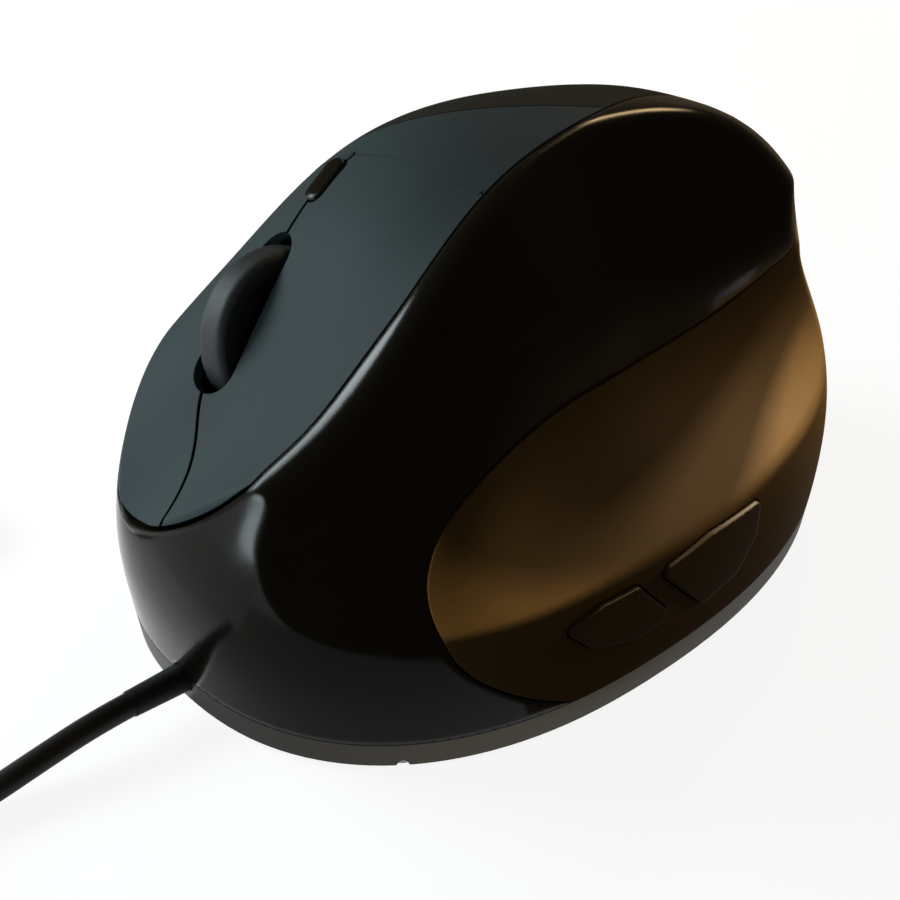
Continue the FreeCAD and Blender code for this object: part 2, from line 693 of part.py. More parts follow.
def screw(name, length):
    # A pan head screw turned about its axis; the head's face lies at zero
    return turned(name, [("0", "0"), ("-1.2", "0"), ("-1.2", "screw_head-0.5"), ("-0.9", "screw_head"),
                         ("0", "screw_head"), ("0", "screw_radius"), (length, "screw_radius"), (length, "0")])


def copies(label, pattern, places):
    # The same hardware at several places, as one sub-part of separate solids
    shapes = []
    for frame in places:
        one = pattern.Shape.copy()
        one.Placement = frame
        shapes.append(one)
    item = plain(label + "_set", Part.makeCompound([s for shape in shapes for s in shape.Solids]))
    node(item, label)


DOWN_TURN = FreeCAD.Rotation(Y_AXIS, 90)
UP_TURN = FreeCAD.Rotation(Y_AXIS, -90)


def make_screws():
    low = size("foot_height") + 1.3
    long_screw = screw("base_screw", "10")
    copies("base_screws", long_screw, [FreeCAD.Placement(V(x, y, low), UP_TURN)
                                       for x, y in SHELL_SCREWS + [THUMB_SCREW]])
    board = size("main_board_z") + size("board_thickness")
    short = screw("board_screw", "4.5")
    places = [FreeCAD.Placement(V(x, y, board), DOWN_TURN) for x, y in BOARD_SCREWS]
    top = -size("key_board_drop")
    places += [WHEEL.multiply(FreeCAD.Placement(V(x, y, top), DOWN_TURN)) for x, y in KEY_BOARD_SCREWS]
    copies("board_screws", short, places)
    foot = screw("frame_screw", "5")
    copies("frame_screws", foot, [FreeCAD.Placement(V(x, y, 8.0), DOWN_TURN) for x, y in FRAME_SCREWS])


def shifted_frame(x, y, z, turn=None):
    return WHEEL.multiply(FreeCAD.Placement(V(x, y, z), turn or FreeCAD.Rotation()))


def make_wheel():
    tyre = turned("tyre", [("-tyre_width/2", "wheel_radius-tyre_depth"), ("-tyre_width/2", "wheel_radius-0.9"),
                           ("-tyre_width/2+0.9", "wheel_radius"), ("tyre_width/2-0.9", "wheel_radius"),
                           ("tyre_width/2", "wheel_radius-0.9"), ("tyre_width/2", "wheel_radius-tyre_depth")])
    edge = size("wheel_radius") - 0.3
    tyre = rounded(tyre, "0.8", lambda e: e.BoundBox.ZMax > edge and e.BoundBox.XLength < 0.01)
    node(tyre, "wheel_tyre", WHEEL)
    inner = "wheel_radius-tyre_depth"
    hub = turned("hub", [("-hub_boss_length", "axle_radius"), ("-hub_boss_length", "hub_boss"),
                         ("-hub_web/2", "hub_boss"), ("-hub_web/2", inner + "-hub_rim"),
                         ("-tyre_width/2+0.4", inner + "-hub_rim"), ("-tyre_width/2+0.4", inner),
                         ("tyre_width/2-0.4", inner), ("tyre_width/2-0.4", inner + "-hub_rim"),
                         ("hub_web/2", inner + "-hub_rim"), ("hub_web/2", "hub_boss"),
                         ("hub_boss_length", "hub_boss"), ("hub_boss_length", "axle_radius")])
    node(hub, "wheel_hub", WHEEL)
    axle = turned("axle", [("-10.2", "0"), ("-10.2", "axle_radius-0.3"), ("-9.9", "axle_radius"),
                           ("6.5", "axle_radius"), ("6.8", "axle_radius-0.3"), ("6.8", "0")])
    node(axle, "wheel_axle", WHEEL)


def make_cradle():
    # The wheel hangs in a cradle that slides down onto the middle switch
    bottom = "-key_board_drop+tact_height+pusher_gap"
    cheeks = []
    for side, x in (("left", "cradle_inside/2"), ("right", "-cradle_inside/2-cradle_wall")):
        cheeks.append(block("cheek_" + side, "cradle_wall", "8", "17.2", x, "-4", bottom))
    floor = block("cradle_floor", "cradle_inside+2*cradle_wall", "14",
                  "-cradle_floor_drop-(" + bottom + ")", "-cradle_inside/2-cradle_wall", "-7", bottom)
    bore = rod("cradle_bore", "axle_radius+axle_play", "30", "-15", "0", "0", ALONG_X)
    node(carve("cradle", cheeks + [floor], [bore]), "wheel_carriage", WHEEL)
    body = block("encoder_body", "4.2", "11", "11.4", "-cradle_inside/2-cradle_wall-4.2", "-5.5", "-9")
    legs = block("encoder_slot", "1.2", "7", "3", "-cradle_inside/2-cradle_wall-2.7", "-3.5", "-9.5")
    play = rod("encoder_bore", "axle_radius+axle_play", "30", "-15", "0", "0", ALONG_X)
    node(carve("encoder", [body], [legs, play]), "scroll_encoder", WHEEL)
    ring = block("guide_block", "16.8", "17.6", "6.6", "-8.4", "-8.8", "-key_board_drop")
    well = block("guide_well", "13.8", "14.6", "5.8", "-6.9", "-7.3", "-key_board_drop-0.1")
    mouth = block("guide_mouth", "13.8", "12.4", "8", "-6.9", "-6.2", "-key_board_drop-0.1")
    node(carve("guide", [ring], [well, mouth]), "wheel_guide", WHEEL)


def tact(name, label, frame):
    body = block(name + "_body", "tact_side", "tact_side", "tact_height", "-tact_side/2", "-tact_side/2", "0")
    bore = rod(name + "_bore", "tact_bore", "tact_height", "0", "0", "0.8")
    node(carve(name, [body], [bore]), label, frame)


def plunger(name, label, frame):
    pin = rod(name, "plunger_radius", "plunger_reach+pusher_gap", "0", "0", "tact_height-plunger_reach")
    hold = union(name + "_pin", [pin, rod(name + "_tip", "plunger_radius-0.3", "0.3", "0", "0",
                                          "tact_height-plunger_reach-0.3")])
    node(hold, label, frame)


def make_switches():
    top = -size("key_board_drop")
    middle = shifted_frame(0, 0, top)
    tact("middle_tact", "middle_switch", middle)
    plunger("middle_pin", "middle_plunger", middle)
    rate = shifted_frame(size("rate_offset"), size("rate_place"), top)
    tact("rate_tact", "rate_switch", rate)
    plunger("rate_pin", "rate_plunger", rate)
    for side, label in ((1, "left"), (-1, "right")):
        frame = shifted_frame(side * size("snap_offset"), size("snap_place"), top)
        body = block(label + "_snap", "snap_width", "snap_length", "snap_height", "-snap_width/2",
                     "-snap_length/2", "0")
        slot = block(label + "_snap_slot", "2", "3.8", "2.5", "-1", "-1.9", "snap_height-2.2")
        node(carve(label + "_snap_body", [body], [slot]), label + "_switch", frame)
        pin = block(label + "_snap_pin", "1.2", "2.6", "0.8+post_gap", "-0.6", "-1.3", "snap_height-0.8")
        tip = block(label + "_snap_tip", "0.8", "2.2", "0.3", "-0.4", "-1.1", "snap_height-1.1")
        node(union(label + "_snap_plunger", [pin, tip]), label + "_plunger", frame)


def make_side_switches():
    turn = FreeCAD.Rotation(Y_AXIS, 90)
    for label, (y, z) in zip(("front", "rear"), THUMB_SWITCHES):
        frame = FreeCAD.Placement(V(THUMB_FACE, y, z), turn)
        tact("side_tact_" + label, "side_switch_" + label, frame)
        plunger("side_pin_" + label, "side_plunger_" + label, frame)
    board = block("side_board", "board_thickness", "42.4", "16.2", "body_width/2-thumb_board_inset-board_thickness",
                  "-22.2", "8.8")
    node(board, "side_pcb")


def make_rate_button():
    # Bar between the keys, its crown and its rim lying along the slope of the keys there
    slope = -0.25
    height = 4.7
    def band(low, high):
        corners = []
        for y, lift in ((12, low), (32, low), (32, high), (12, high)):
            corners.append(V(-20, y, height + slope * (y - RATE_Y) + lift))
        return in_wheel_frame(Part.Face(Part.makePolygon(corners + [corners[0]])).extrude(V(40, 0, 0)))
    wall = size("shell_wall")
    low = -wall - 2.7
    cap = capsule(size("rate_length"), size("rate_width"), -12, 12, RATE_X, RATE_Y)
    cap = cap.common(band(low, size("rate_proud")))
    rim = capsule(size("rate_length") + 2.4, size("rate_width") + 2.4, -12, 12, RATE_X, RATE_Y)
    rim = rim.common(band(low, low + 1.2))
    bottom = -size("key_board_drop") + size("tact_height") + size("pusher_gap")
    stem = local_rod(1.7, bottom, height + low + 0.6, RATE_X, RATE_Y)
    node(plain("rate_button", keep_largest(cap.fuse([rim, stem]))), "rate_button")


def make_boards():
    drop = "-key_board_drop-board_thickness"
    wide = block("key_board_wide", "35.5", "30", "board_thickness", "-18.5", "-20", drop)
    tail = block("key_board_tail", "14", "19", "board_thickness", "-6", "9", drop)
    holes = []
    for i, (x, y) in enumerate(KEY_BOARD_SCREWS):
        holes.append(rod("key_board_hole_%d" % i, "screw_radius+0.15", "4", str(x), str(y), drop + "-1"))
    node(carve("key_board", [wide, tail], holes), "button_pcb", WHEEL)
    main = block("main_board", "main_board_width", "main_board_length", "board_thickness", "-24", "-14",
                 "main_board_z")
    holes = [rod("lens_hole", "3.3", "4", "0", "sensor_y", "main_board_z-1")]
    for i, (x, y) in enumerate(BOARD_SCREWS):
        holes.append(rod("main_board_hole_%d" % i, "screw_radius+0.15", "4", str(x), str(y), "main_board_z-1"))
    node(carve("main_pcb_cut", [main], holes), "main_pcb")
    chip = block("sensor_chip", "12", "9.6", "3", "-6", "sensor_y-4.8", "main_board_z+board_thickness")
    node(chip, "optical_sensor")
    flange = block("lens_flange", "16", "11", "2.2", "-8", "sensor_y-5.5", "foot_height+base_floor")
    barrel = rod("lens_barrel", "3", "main_board_z+board_thickness-foot_height-base_floor", "0", "sensor_y",
                 "foot_height+base_floor")
    node(union("lens", [flange, barrel]), "sensor_lens")
    body = block("led_body", "3.2", "4", "3.2", "-1.6", "sensor_y+8.4", "main_board_z-3.2")
    dome = rod("led_dome", "1.4", "2.2", "0", "sensor_y+6.4", "main_board_z-1.6", ALONG_Y)
    node(union("led", [body, dome]), "sensor_led")
    chip = block("controller_chip", "9", "9", "1.4", "6", "20", "main_board_z+board_thickness")
    node(chip, "controller_chip")
    socket = block("lead_socket", "10", "5", "4.6", "-15", "-12.8", "main_board_z+board_thickness")
    well = block("lead_well", "8", "3.6", "4", "-14", "-13.8", "main_board_z+board_thickness+0.8")
    node(carve("socket", [socket], [well]), "cable_connector")


def make_frame():
    # Inner frame: two plates and a cross wall under the slanted board, screwed to the base
    plates = [Part.makeBox(2.5, 28, 60, V(-22, -34, 6)), Part.makeBox(2.5, 28, 60, V(-2, -34, 6))]
    cross = Part.makeBox(22.5, 2, 60, V(-22, -18, 16))
    feet = [Part.makeBox(7.5, 8, 2, V(-29, -32, 6)), Part.makeBox(7.6, 8, 2, V(0, -32, 6))]
    under = -size("key_board_drop") - size("board_thickness")
    pads = [local_rod(2.6, under - 6, under, x, y) for x, y in KEY_BOARD_SCREWS]
    body = plates[0].fuse(plates[1:] + [cross] + feet + pads)
    above = local_box(200, 200, under, under + 100, 0, 0)
    room = Part.makeBox(60, 60, 20, V(-30, -15, -4))
    holes = [Part.makeCylinder(size("screw_radius") + 0.15, 4, V(x, y, 5)) for x, y in FRAME_SCREWS]
    holes += [local_rod(size("screw_radius"), under - 4, under + 1, x, y) for x, y in KEY_BOARD_SCREWS]
    node(plain("inner_frame", keep_largest(body.cut([above, room] + holes))), "inner_frame")


def arc(start, corner, end):
    # The arc that leaves start towards corner and arrives at end from corner
    middle = (start + end) * 0.5
    height = (corner - middle).Length
    half = (end - start).Length / 2
    if height < 1e-5 * half:
        return Part.makeLine(start, end)
    bulge = half * math.tan(math.atan2(height, half) / 2)
    return Part.Arc(start, middle + (corner - middle) * (bulge / height), end).toShape()


def biarcs(knots):
    # A smooth chain of arcs through (point, heading) knots, two arcs between neighbours
    edges = []
    for (a, heading), (b, arriving) in zip(knots, knots[1:]):
        span = b - a
        both = heading + arriving
        k = 2 * (1 - heading.dot(arriving))
        if k < 1e-9:
            reach = span.dot(span) / (4 * span.dot(arriving))
        else:
            reach = (math.sqrt(span.dot(both) ** 2 + k * span.dot(span)) - span.dot(both)) / k
        first = a + heading * reach
        second = b - arriving * reach
        meeting = (first + second) * 0.5
        edges += [arc(a, first, meeting), arc(meeting, second, b)]
    return Part.Wire(edges)


def tube(path, radius):
    # A round cord along a chain of arcs that sets off along the body
    start = path.OrderedVertexes[0].Point
    ring = Part.Wire([Part.Circle(start, Y_AXIS, radius).toShape()])
    return path.makePipeShell([ring], True, False)


TO_FRONT = V(0, -1, 0)


def make_cord():
    x, y, z = size("cord_exit_x"), size("cord_exit_y"), size("cord_exit_z")
    relief = turned("relief", [("-4.6", "0"), ("-4.6", "2.0"), ("-4.3", "2.0"), ("-4.3", "relief_flange"),
                               ("-2.7", "relief_flange"), ("-2.7", "relief_radius"), ("0.8", "relief_radius"),
                               ("relief_length", "relief_tip"), ("relief_length", "0")])
    node(relief, "strain_relief", FreeCAD.Placement(V(x, y, z), FreeCAD.Rotation(Z_AXIS, -90)))
    lead = [(V(x, y + 4.6, z), Y_AXIS), (V(-10, -30, 8), Y_AXIS), (V(-10, -12.4, 12.2), Y_AXIS)]
    node(plain("lead", tube(biarcs(lead), 1.5)), "inner_lead")
    radius = size("cord_radius")
    start = y - size("relief_length")
    end_x, end_y = size("cord_end_x"), size("coil_y")
    run = [(V(x, start, z), TO_FRONT), (V(x + 0.5, start - 32, radius), TO_FRONT),
           (V(end_x, end_y + 14, radius), TO_FRONT), (V(end_x, end_y, size("coil_lift")), TO_FRONT)]
    node(plain("cord_run", tube(biarcs(run), radius)), "cable")
    path = biarcs(coil_knots())
    print("coil: least gap %.2f mm, length %.0f mm" % (coil_gap(path), path.Length))
    node(plain("cord_coil", tube(path, radius)), "cable_coil")


COIL_TURNS = 4


def coil_knots():
    # Half turns: flat turns inwards, one half turn that climbs, flat turns outwards above
    outer, pitch, lift = size("coil_radius"), size("coil_pitch"), size("coil_lift")
    middle = V(size("cord_end_x") - outer, size("coil_y"), 0)
    knots = []
    for half in range(4 * COIL_TURNS + 2):
        side = 1 if half % 2 == 0 else -1
        climbed = half > 2 * COIL_TURNS
        ring = 2 * COIL_TURNS - half // 2 if climbed else half // 2
        height = lift + pitch if climbed else lift
        knots.append((middle + V(side * (outer - pitch * ring), 0, height), V(0, -side, 0)))
    last = knots[-1][0]
    knots.append((last + V(0, 9, 0), Y_AXIS))
    knots.append((last + V(0, 26, size("plug_height") / 2 - last.z), Y_AXIS))
    return knots


def coil_gap(path):
    # Least distance between the skins of any two lengths of cord that are not neighbours
    points = []
    for edge in path.OrderedEdges:
        points += edge.discretize(Distance=1.5)[:-1]
    apart = int(20 / 1.5)
    least = FAR
    for i, point in enumerate(points):
        for other in points[i + apart:]:
            least = min(least, point.distanceToPoint(other))
    return least - 2 * size("cord_radius")


def make_tie():
    # A band round the bundle on the side away from the mouse
    outer, pitch, lift = size("coil_radius"), size("coil_pitch"), size("coil_lift")
    r = size("cord_radius")
    wall = size("tie_wall")
    near = outer - COIL_TURNS * pitch - r - 0.3
    far = outer + r + 0.3
    low = lift - r - 0.35
    high = lift + pitch + r + 0.35
    width = size("tie_width")
    x = size("cord_end_x") - outer
    y = size("coil_y")
    outside = Part.makeBox(width, far - near + 2 * wall, high - low + 2 * wall,
                           V(x - width / 2, y - far - wall, low - wall))
    inside = Part.makeBox(2 * width, far - near, high - low, V(x - width, y - far, low))
    outside = outside.makeFillet(1.4, [e for e in outside.Edges if abs(e.Length - width) < 0.01])
    inside = inside.makeFillet(0.7, [e for e in inside.Edges if abs(e.Length - 2 * width) < 0.01])
    node(plain("tie", outside.cut(inside)), "cable_tie")


def make_plug():
    frame = FreeCAD.Placement(coil_knots()[-1][0], FreeCAD.Rotation())
    grip = block("plug_grip", "plug_width", "plug_length", "plug_height", "-plug_width/2", "0", "-plug_height/2")
    doc.recompute()
    body = doc.addObject("Part::Fillet", "plug_grip_round")
    body.Base = grip
    length = size("plug_length")
    body.Edges = [(i, 1.8, 1.8) for i, e in enumerate(grip.Shape.Edges, 1) if abs(e.Length - length) < 0.01]
    node(body, "usb_plug_body", frame)
    w, h, t = "contact_width", "contact_height", "contact_wall"
    outside = block("contact_outside", w, "contact_length", h, "-contact_width/2", "plug_length",
                    "-contact_height/2")
    inside = block("contact_inside", w + "-2*" + t, "contact_length+2", h + "-2*" + t,
                   "-contact_width/2+contact_wall", "plug_length-1", "-contact_height/2+contact_wall")
    latches = [block("latch_%d" % i, "1.8", "2.2", "1.2", x, "plug_length+5.5", "contact_height/2-0.8")
               for i, x in enumerate(("-3.6", "1.8"))]
    node(carve("contact_shell", [outside], [inside] + latches), "usb_plug_shell", frame)
    pieces = [block("contact_tongue", w + "-2*" + t, "contact_length-1.5", "1.8",
                    "-contact_width/2+contact_wall", "plug_length", "contact_height/2-contact_wall-1.8")]
    for i, x in enumerate(("-4.0", "-1.5", "0.5", "3.0")):
        pieces.append(block("contact_strip_%d" % i, "1.0", "7.5", "0.3", x, "plug_length+4",
                            "contact_height/2-contact_wall-2.0"))
    node(union("tongue", pieces), "usb_plug_tongue", frame)


START = time.time()
for stage in (make_base, make_feet, make_screws, make_wheel, make_cradle, make_switches, make_side_switches,
              make_rate_button, make_boards, make_frame, make_cord, make_tie, make_plug):
    stage()
    print(stage.__name__, "done", round(time.time() - START, 1))
UPPER = make_covers()
make_main_shell(UPPER)
make_thumb_side(UPPER)
doc.recompute()

bad = [item.Name for item in doc.Objects if "Invalid" in item.State or "Error" in item.State]
if bad:
    raise RuntimeError("failed objects: " + ", ".join(bad))
os.makedirs("parts", exist_ok=True)
for item in NODES:
    shape = item.Shape
    if shape.isNull() or not shape.isValid():
        raise RuntimeError("bad shape: " + item.Label)
    shape.exportStep("parts/" + item.Label + ".step")
    print(item.Label, len(shape.Solids), round(shape.Volume))
print("wheel centre", WHEEL.Base)
print("source ran", round(time.time() - START, 1))
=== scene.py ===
import json
from math import cos, pi, radians, sin

import bpy
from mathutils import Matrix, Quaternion, Vector

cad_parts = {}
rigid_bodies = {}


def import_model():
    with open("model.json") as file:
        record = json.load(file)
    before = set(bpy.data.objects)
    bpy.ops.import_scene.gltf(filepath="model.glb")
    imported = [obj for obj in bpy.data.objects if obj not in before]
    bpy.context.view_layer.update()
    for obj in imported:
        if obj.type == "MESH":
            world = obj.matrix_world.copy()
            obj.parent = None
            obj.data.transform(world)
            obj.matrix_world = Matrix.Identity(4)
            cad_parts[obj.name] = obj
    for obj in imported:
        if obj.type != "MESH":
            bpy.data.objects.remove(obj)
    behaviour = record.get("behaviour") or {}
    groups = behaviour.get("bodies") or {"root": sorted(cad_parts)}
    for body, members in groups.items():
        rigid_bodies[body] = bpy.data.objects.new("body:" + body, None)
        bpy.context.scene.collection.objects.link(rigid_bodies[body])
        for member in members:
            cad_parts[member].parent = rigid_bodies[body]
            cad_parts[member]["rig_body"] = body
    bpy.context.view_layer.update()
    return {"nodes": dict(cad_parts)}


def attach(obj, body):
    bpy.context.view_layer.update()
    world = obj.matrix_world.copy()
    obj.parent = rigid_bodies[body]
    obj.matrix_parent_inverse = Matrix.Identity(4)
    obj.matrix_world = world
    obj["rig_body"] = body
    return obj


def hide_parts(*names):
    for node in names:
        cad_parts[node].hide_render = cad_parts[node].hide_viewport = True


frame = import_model()


# Camera: it looks down on the thumb side and the front at once, rolled a little, so
# that the finger slope is on the left of the picture and the thumb rest on the right.
bearing = radians(46.0)
tilt = radians(35.4)
roll = radians(3.4)
camera_reach = 0.364
camera_aim = Vector((0, 0, 0.030))
away = Vector((sin(bearing) * cos(tilt), -cos(bearing) * cos(tilt), sin(tilt)))
turn = away.to_track_quat("Z", "Y") @ Quaternion((0, 0, 1), roll)
bpy.ops.object.camera_add(location=camera_aim + camera_reach * away, rotation=turn.to_euler())
camera = bpy.context.active_object
camera.name = "photo_camera"
camera.data.lens = 96
camera.data.sensor_width = 36
camera.data.shift_x = -0.0522
camera.data.shift_y = -0.0689
camera.data.clip_start = 0.01
bpy.context.scene.camera = camera


# Cord: four thin wires and a screen in a smooth black PVC jacket, 3.7 mm thick. It
# comes out of the strain relief low at the front, lies down on the desk and ends,
# beyond the picture, in a coil wound in and out again in two layers, held by a tie.
cord_radius = 0.00185
cord_exit = (-0.0005, -0.068, 0.0046)
coil_middle = Vector((-0.0298, -0.128))
coil_radius = 0.0305
coil_step = 0.00414
coil_low = 0.00295
half_turns = 18
turn_points = 6

route = [cord_exit, (-0.0005, -0.0740, 0.0045), (-0.0004, -0.0830, 0.0033), (-0.0001, -0.0930, 0.0020),
         (0.0003, -0.1040, 0.00185), (0.0007, -0.1140, 0.0019), (0.0007, -0.1215, 0.0026)]
knots = []
for half_turn in range(half_turns):
    climbed = half_turn >= half_turns // 2
    ring = half_turns // 2 - 1 - half_turn // 2 if climbed else half_turn // 2
    side = 1 if half_turn % 2 == 0 else -1
    knots.append((side, coil_radius - coil_step * ring, coil_low + (coil_step if climbed else 0)))
for (side, here, low), (_, there, high) in zip(knots, knots[1:]):
    reach = (here + there) / 2
    middle = coil_middle.x + side * (here - there) / 2
    for step in range(turn_points):
        angle = (step + 0.5) * pi / turn_points
        outward = reach / cos(pi / (2 * turn_points))
        route.append((middle + side * outward * cos(angle), coil_middle.y - side * outward * sin(angle),
                      low + (high - low) * (step + 0.5) / turn_points))
route += [(-0.0603, -0.1240, 0.00709), (-0.0603, -0.1180, 0.00690), (-0.0603, -0.1110, 0.0050),
          (-0.0603, -0.1065, 0.0040), (-0.0603, -0.1020, 0.0040)]

line = bpy.data.curves.new("cord", "CURVE")
line.dimensions = "3D"
line.resolution_u = 6
line.bevel_depth = cord_radius
line.bevel_resolution = 5
run = line.splines.new("NURBS")
run.points.add(len(route) - 1)
for point, spot in zip(run.points, route):
    point.co = (*spot, 1)
run.order_u = 3
run.use_endpoint_u = True
cord = bpy.data.objects.new("cord", line)
bpy.context.collection.objects.link(cord)


# Extruded PVC: even, slightly oily black with a soft broad highlight. The jacket has
# faint waves from the die, some 3 mm long, and rubbed patches.
def srgb(hexadecimal):
    # sRGB hex as written, turned to the linear values that the shader works in
    values = [int(hexadecimal[i:i + 2], 16) / 255 for i in (1, 3, 5)]
    linear = [v / 12.92 if v <= 0.04045 else ((v + 0.055) / 1.055) ** 2.4 for v in values]
    return (*linear, 1.0)


def feed(material, node, links):
    # Each input takes the output that is given for it: (node, output)
    for name, (source, output) in links.items():
        material.node_tree.links.new(source.outputs[output], node.inputs[name])


def add_node(material, kind, settings=None, links=None):
    # One node with its settings and its links. Stops are the colours of a ramp
    made = material.node_tree.nodes.new(kind)
    for name, value in (settings or {}).items():
        if name == "stops":
            for stop, colour in zip(made.color_ramp.elements, value):
                stop.color = srgb(colour)
        elif isinstance(name, int) or name in made.inputs:
            made.inputs[name].default_value = value
        else:
            setattr(made, name, value)
    feed(material, made, links or {})
    return made


def new_finish(name, settings):
    # A material with its coordinates and its shader, whose even values are the settings
    material = bpy.data.materials.new(name)
    material.use_nodes = True
    material.node_tree.nodes.clear()
    place = (add_node(material, "ShaderNodeTexCoord"), "Object")
    shader = add_node(material, "ShaderNodeBsdfPrincipled", settings)
    add_node(material, "ShaderNodeOutputMaterial", {}, {"Surface": (shader, "BSDF")})
    return material, place, shader


pvc, place, shader = new_finish("extruded_pvc", {"IOR": 1.53, "Specular IOR Level": 0.4})
rub = add_node(pvc, "ShaderNodeTexNoise", {"Scale": 120, "Detail": 4}, {"Vector": place})
tone = add_node(pvc, "ShaderNodeValToRGB", {"stops": ("#0a0b0b", "#131414")}, {"Fac": (rub, "Fac")})
blur = add_node(pvc, "ShaderNodeMapRange", {"To Min": 0.36, "To Max": 0.5}, {"Value": (rub, "Fac")})
wave = add_node(pvc, "ShaderNodeTexNoise", {"Scale": 1 / 0.003, "Detail": 2}, {"Vector": place})
relief = add_node(pvc, "ShaderNodeBump", {"Strength": 0.25, "Distance": 0.00005}, {"Height": (wave, "Fac")})
feed(pvc, shader, {"Base Color": (tone, "Color"), "Roughness": (blur, "Result"),
                   "Normal": (relief, "Normal")})
line.materials.append(pvc)
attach(cord, "housing")
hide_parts("cable", "cable_coil")


# Strain relief, coil tie and plug grip: soft PVC moulded over the cord, a little
# duller than the extruded jacket. The tie is a moulded strap.
def coat(names, material):
    # A CAD node keeps its mesh and takes the material
    for name in names:
        for holder in frame["nodes"][name].material_slots:
            holder.material = material


weld = 0.000001
smooth_angle = radians(30)


def worked_copy(name, piece_name, material):
    # The CAD node's own surface, its loose triangles merged and its rounded faces
    # shaded smooth, so that it carries a reflection as a moulded part does
    piece = bpy.data.objects.new(piece_name, frame["nodes"][name].data.copy())
    bpy.context.collection.objects.link(piece)
    bpy.ops.object.select_all(action="DESELECT")
    piece.select_set(True)
    bpy.context.view_layer.objects.active = piece
    bpy.ops.mesh.customdata_custom_splitnormals_clear()
    bpy.ops.object.mode_set(mode="EDIT")
    bpy.ops.mesh.select_all(action="SELECT")
    bpy.ops.mesh.remove_doubles(threshold=weld)
    bpy.ops.object.mode_set(mode="OBJECT")
    bpy.ops.object.shade_smooth_by_angle(angle=smooth_angle)
    piece.data.materials.clear()
    piece.data.materials.append(material)
    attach(piece, frame["nodes"][name]["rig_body"])
    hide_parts(name)
    return piece


soft_pvc, place, shader = new_finish("moulded_soft_pvc", {"IOR": 1.53, "Specular IOR Level": 0.35})
grain = add_node(soft_pvc, "ShaderNodeTexNoise", {"Scale": 1 / 0.0004, "Detail": 3}, {"Vector": place})
tone = add_node(soft_pvc, "ShaderNodeValToRGB", {"stops": ("#0b0c0c", "#141515")}, {"Fac": (grain, "Fac")})
blur = add_node(soft_pvc, "ShaderNodeMapRange", {"To Min": 0.45, "To Max": 0.6}, {"Value": (grain, "Fac")})
relief = add_node(soft_pvc, "ShaderNodeBump", {"Strength": 0.3, "Distance": 0.00004},
                  {"Height": (grain, "Fac")})
feed(soft_pvc, shader, {"Base Color": (tone, "Color"), "Roughness": (blur, "Result"),
                        "Normal": (relief, "Normal")})
sleeve = worked_copy("strain_relief", "strain_relief_sleeve", soft_pvc)
strap = worked_copy("cable_tie", "coil_strap", soft_pvc)
grip = worked_copy("usb_plug_body", "plug_grip", soft_pvc)


# Plug shell: sheet steel folded round the tongue and nickel plated. It is bright, with
# fine lines along the fold and a faint yellow in the plate.
fold_line = 0.0003
nickel, place, shader = new_finish("nickel_plated_steel", {"Metallic": 1.0})
lay = add_node(nickel, "ShaderNodeMapping", {"Scale": (1, 0.05, 1)}, {"Vector": place})
lines = add_node(nickel, "ShaderNodeTexNoise", {"Scale": 1 / fold_line, "Detail": 2},
                 {"Vector": (lay, "Vector")})
tone = add_node(nickel, "ShaderNodeValToRGB", {"stops": ("#b9b7ae", "#cfcdc4")}, {"Fac": (lines, "Fac")})
blur = add_node(nickel, "ShaderNodeMapRange", {"To Min": 0.2, "To Max": 0.34}, {"Value": (lines, "Fac")})
relief = add_node(nickel, "ShaderNodeBump", {"Strength": 0.15, "Distance": 0.00002},
                  {"Height": (lines, "Fac")})
feed(nickel, shader, {"Base Color": (tone, "Color"), "Roughness": (blur, "Result"),
                      "Normal": (relief, "Normal")})
coat(["usb_plug_shell"], nickel)


# Actuators, lead connector and plug tongue: white acetal and nylon, moulded with a
# faintly waxy surface that is a little warmer where it is thick.
acetal, place, shader = new_finish("moulded_acetal", {
    "IOR": 1.48, "Subsurface Weight": 0.15, "Subsurface Scale": 0.001})
cloud = add_node(acetal, "ShaderNodeTexNoise", {"Scale": 1 / 0.002, "Detail": 3}, {"Vector": place})
tone = add_node(acetal, "ShaderNodeValToRGB", {"stops": ("#d9d5c8", "#e9e6dc")}, {"Fac": (cloud, "Fac")})
blur = add_node(acetal, "ShaderNodeMapRange", {"To Min": 0.35, "To Max": 0.5}, {"Value": (cloud, "Fac")})
relief = add_node(acetal, "ShaderNodeBump", {"Strength": 0.15, "Distance": 0.00003},
                  {"Height": (cloud, "Fac")})
feed(acetal, shader, {"Base Color": (tone, "Color"), "Roughness": (blur, "Result"),
                      "Normal": (relief, "Normal")})
coat(["usb_plug_tongue", "cable_connector", "middle_plunger", "rate_plunger", "left_plunger",
      "right_plunger", "side_plunger_front", "side_plunger_rear"], acetal)


# Base plate: a tray of moulded ABS with a fine etched surface, screwed up into the
# housing. Its rim is the lowest band all round.
etched_abs, place, shader = new_finish("etched_abs_base", {"IOR": 1.54, "Specular IOR Level": 0.4})
grit = add_node(etched_abs, "ShaderNodeTexNoise", {"Scale": 1 / 0.0003, "Detail": 4}, {"Vector": place})
tone = add_node(etched_abs, "ShaderNodeValToRGB", {"stops": ("#1a1b1b", "#232424")}, {"Fac": (grit, "Fac")})
blur = add_node(etched_abs, "ShaderNodeMapRange", {"To Min": 0.38, "To Max": 0.5}, {"Value": (grit, "Fac")})
relief = add_node(etched_abs, "ShaderNodeBump", {"Strength": 0.3, "Distance": 0.00003},
                  {"Height": (grit, "Fac")})
feed(etched_abs, shader, {"Base Color": (tone, "Color"), "Roughness": (blur, "Result"),
                          "Normal": (relief, "Normal")})
base = worked_copy("base_plate", "base_tray", etched_abs)


